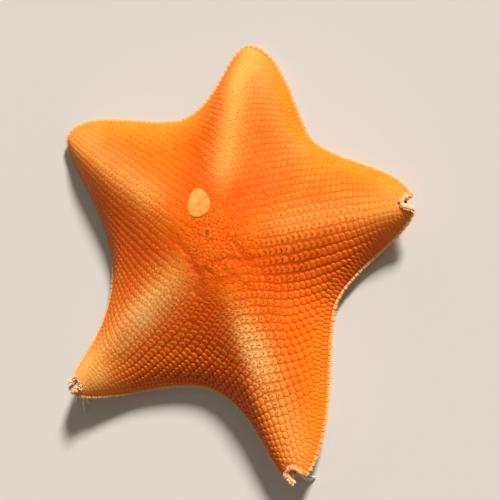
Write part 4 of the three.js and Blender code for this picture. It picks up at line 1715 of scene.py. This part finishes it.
FLESH = {  # how light goes into the skin and the plates
    "Specular_IOR_Level": 0.1, "Subsurface_Weight": 0.3, "Subsurface_Scale": 0.0006,
    "Subsurface_Radius": (1.0, 0.5, 0.3),
}


def skin_material():
    nodes = Nodes("skin")
    furrow = nodes.mix(nodes.value("red"), FURROW_RED, DEEP_FURROW)
    # painted shade: darker furrows on flanks turned from the light
    furrow = nodes.mix(nodes.value("shade"), furrow, SHADED_FURROW)
    furrow = nodes.mix(nodes.value("under"), furrow, colour(220, 150, 90))
    even = nodes.between(nodes.value("even"), 0.0, 1.0, 0.25, 0.95)
    tone = nodes.mix(even, furrow, body_colour(nodes))
    bump = nodes.bump(nodes.beads(0.35), -0.06, 0.6)
    return nodes.set(Base_Color=tone, Roughness=0.5, Normal=bump, **FLESH)


def plate_material():
    nodes = Nodes("plates")
    tone = body_colour(nodes)
    # painted light: plates on flanks turned from the light are paler and yellower
    tone = nodes.mix(nodes.value("shade", 0.35), tone, YELLOW)
    tone = nodes.mix(nodes.value("tone", 0.09), tone, PALE)
    # painted shade: the furrows' colour, darker on flanks turned from the light
    base = nodes.mix(nodes.value("shade"), FURROW_RED, SHADED_FURROW)
    base = nodes.mix(nodes.value("under"), base, UNDER)
    base = nodes.mix(nodes.value("even", 0.8), base, tone)
    # painted shade: each plate darkens towards its base and in its notch's hollow
    tone = nodes.mix(nodes.between(nodes.value("raised"), 0.0, 0.6), base, tone)
    speckle = nodes.between(nodes.beads(0.36), 0.15, 0.55, 0.0, 0.22)
    tone = nodes.mix(speckle, tone, nodes.mix(nodes.value("under"), FURROW_RED, UNDER))
    bump = nodes.bump(nodes.beads(0.36), -0.07, 0.7)
    return nodes.set(Base_Color=tone, Roughness=0.48, Normal=bump, **FLESH)


def fringe_material():
    nodes = Nodes("fringe")
    tone = nodes.mix(nodes.between(nodes.value("raised"), 0.3, 0.8), YELLOW, CREAM)
    # painted light: paler cream where the fringe lies in the body's shadow
    tone = nodes.mix(nodes.value("shade", 0.8), tone, colour(255, 220, 160))
    tone = nodes.mottle(1.2, 2.0, tone, PALE, 0.3)
    bump = nodes.bump(nodes.noise(0.2), 0.03)
    flesh = {"Subsurface_Weight": 0.15, "Subsurface_Scale": 0.0008}
    return nodes.set(Base_Color=tone, Roughness=0.5, Normal=bump, **flesh)


def lip_material():
    nodes = Nodes("lips")
    pale = nodes.mottle(1.2, 3, colour(242, 190, 142), colour(232, 164, 108))
    tone = nodes.mix(nodes.between(nodes.value("raised"), 0.05, 0.5), YELLOW, pale)
    bump = nodes.bump(nodes.noise(0.4, 3), 0.04)
    return nodes.set(Base_Color=tone, Roughness=0.5, Normal=bump, **FLESH)


def gill_material():
    nodes = Nodes("gills")
    tone = nodes.mix(nodes.between(nodes.value("tone"), 0.6, 1.0), GILL, DEEP_GILL)
    tone = nodes.mottle(2, 2.0, tone, DEEP_FURROW, 0.5)
    bump = nodes.bump(nodes.noise(0.3), 0.03)
    return nodes.set(Base_Color=tone, Roughness=0.6, Normal=bump, **FLESH)


def sieve_material():
    nodes = Nodes("sieve_plate")
    tone = nodes.mix(nodes.between(nodes.noise(1.8, 3), 0.35, 0.7), SIEVE, SIEVE_DARK)
    # painted shade: darker down in the grooves and on the foot
    tone = nodes.mix(nodes.between(nodes.value("raised"), 0.1, 0.6, 0.35, 0.0), tone, SIEVE_DARK)
    bump = nodes.bump(nodes.noise(0.4, 3), 0.04)
    return nodes.set(Base_Color=tone, Roughness=0.55, Normal=bump, Specular_IOR_Level=0.15)


def plain_material(name, light, dark, grain_mm, roughness, level=0.25, clear=0.0):
    """Two mottled colours with a fine grain. level is the specular one."""
    nodes = Nodes(name)
    tone = nodes.mottle(grain_mm * 3, 3, colour(*light), colour(*dark))
    bump = nodes.bump(nodes.noise(grain_mm, 3), 0.04)
    surface = {"Specular_IOR_Level": level, "Transmission_Weight": clear}
    return nodes.set(Base_Color=tone, Roughness=roughness, Normal=bump, **surface)


# ---- Stage ----

CAMERA_TILT = 25  # degrees from the vertical, towards +X
CAMERA_DISTANCE = 450
CAMERA_AIM = (4.39, -1.42, 0)  # in star coordinates
VIEW_WIDTH = 142  # millimetres seen across at the aim point


def make_camera():
    tilt = math.radians(CAMERA_TILT)
    back = np.array([math.sin(tilt), 0, math.cos(tilt)])
    turn = np.eye(4)
    turn[:3, 0] = math.cos(tilt), 0, -math.sin(tilt)
    turn[:3, 1] = 0, 1, 0
    turn[:3, 2] = back
    turn[:3, 3] = placed(np.array(CAMERA_AIM) + back * CAMERA_DISTANCE)
    data = bpy.data.cameras.new("camera")
    data.lens = data.sensor_width * CAMERA_DISTANCE / VIEW_WIDTH
    data.clip_start, data.clip_end = 0.01, 10
    camera = linked("camera", data)
    camera.matrix_world = Matrix(turn.tolist())
    bpy.context.scene.camera = camera


SUN = {"azimuth": 62, "height": 29, "width": 10, "energy": 6.1}  # the first three in degrees
SUN_COLOUR = (1.0, 0.96, 0.9)
SKY_COLOUR = (1.0, 0.88, 0.76, 1)
SKY_STRENGTH = 0.22
FLOOR_HALF = 2.0  # metres


def make_lights():
    sun = bpy.data.lights.new("sun", "SUN")
    sun.energy = SUN["energy"]
    sun.angle = math.radians(SUN["width"])
    sun.color = SUN_COLOUR
    height = math.radians(SUN["height"])
    toward = np.array([*unit(SUN["azimuth"]) * math.cos(height), math.sin(height)])
    lamp = linked("sun", sun)
    lamp.rotation_mode = "QUATERNION"
    lamp.rotation_quaternion = Vector(-toward).to_track_quat("-Z", "Y")
    world = bpy.data.worlds.new("studio")
    world.use_nodes = True
    sky = world.node_tree.nodes["Background"]
    sky.inputs["Color"].default_value = SKY_COLOUR
    sky.inputs["Strength"].default_value = SKY_STRENGTH
    bpy.context.scene.world = world
    bpy.context.scene.view_settings.view_transform = "Standard"


def make_floor():
    mesh = bpy.data.meshes.new("floor")
    corners = [(x * FLOOR_HALF, y * FLOOR_HALF, 0) for x, y in ((-1, -1), (1, -1), (1, 1), (-1, 1))]
    mesh.from_pydata(corners, [], [(0, 1, 2, 3)])
    mesh.materials.append(Nodes("floor").set(Base_Color=colour(209, 207, 203), Roughness=0.85))
    floor = linked("floor", mesh)


# ---- The star ----

make_camera()
make_lights()
make_floor()
plate_look, fringe_look, gill_look = plate_material(), fringe_material(), gill_material()
foot_look = plain_material("tube_feet", (246, 214, 150), (238, 186, 112), 0.4, 0.3, 0.5, 0.25)
make_skin(skin_material())
stands = make_plates(plate_look)
make_papulae(gill_look, *stands)
make_fringe(fringe_look)
make_madreporite(sieve_material())
make_anus(
    plain_material("anus", (190, 84, 30), (160, 70, 26), 0.2, 0.5),
    plain_material("anus_ring", (214, 120, 74), (200, 104, 58), 0.2, 0.5),
)
make_lips(
    lip_material(),
    plain_material("lip_spinelets", (246, 216, 182), (240, 196, 152), 0.3, 0.5, 0.2),
)
make_eyespots(plain_material("eyespots", (214, 84, 36), (196, 66, 28), 0.2, 0.4, 0.3))
make_sole(plate_look, fringe_look)
make_combs(fringe_look)
make_tube_feet(foot_look)
make_feelers(plain_material("feelers", (252, 240, 224), (248, 228, 204), 0.4, 0.3, 0.5, 0.2))
make_jaws(fringe_look)
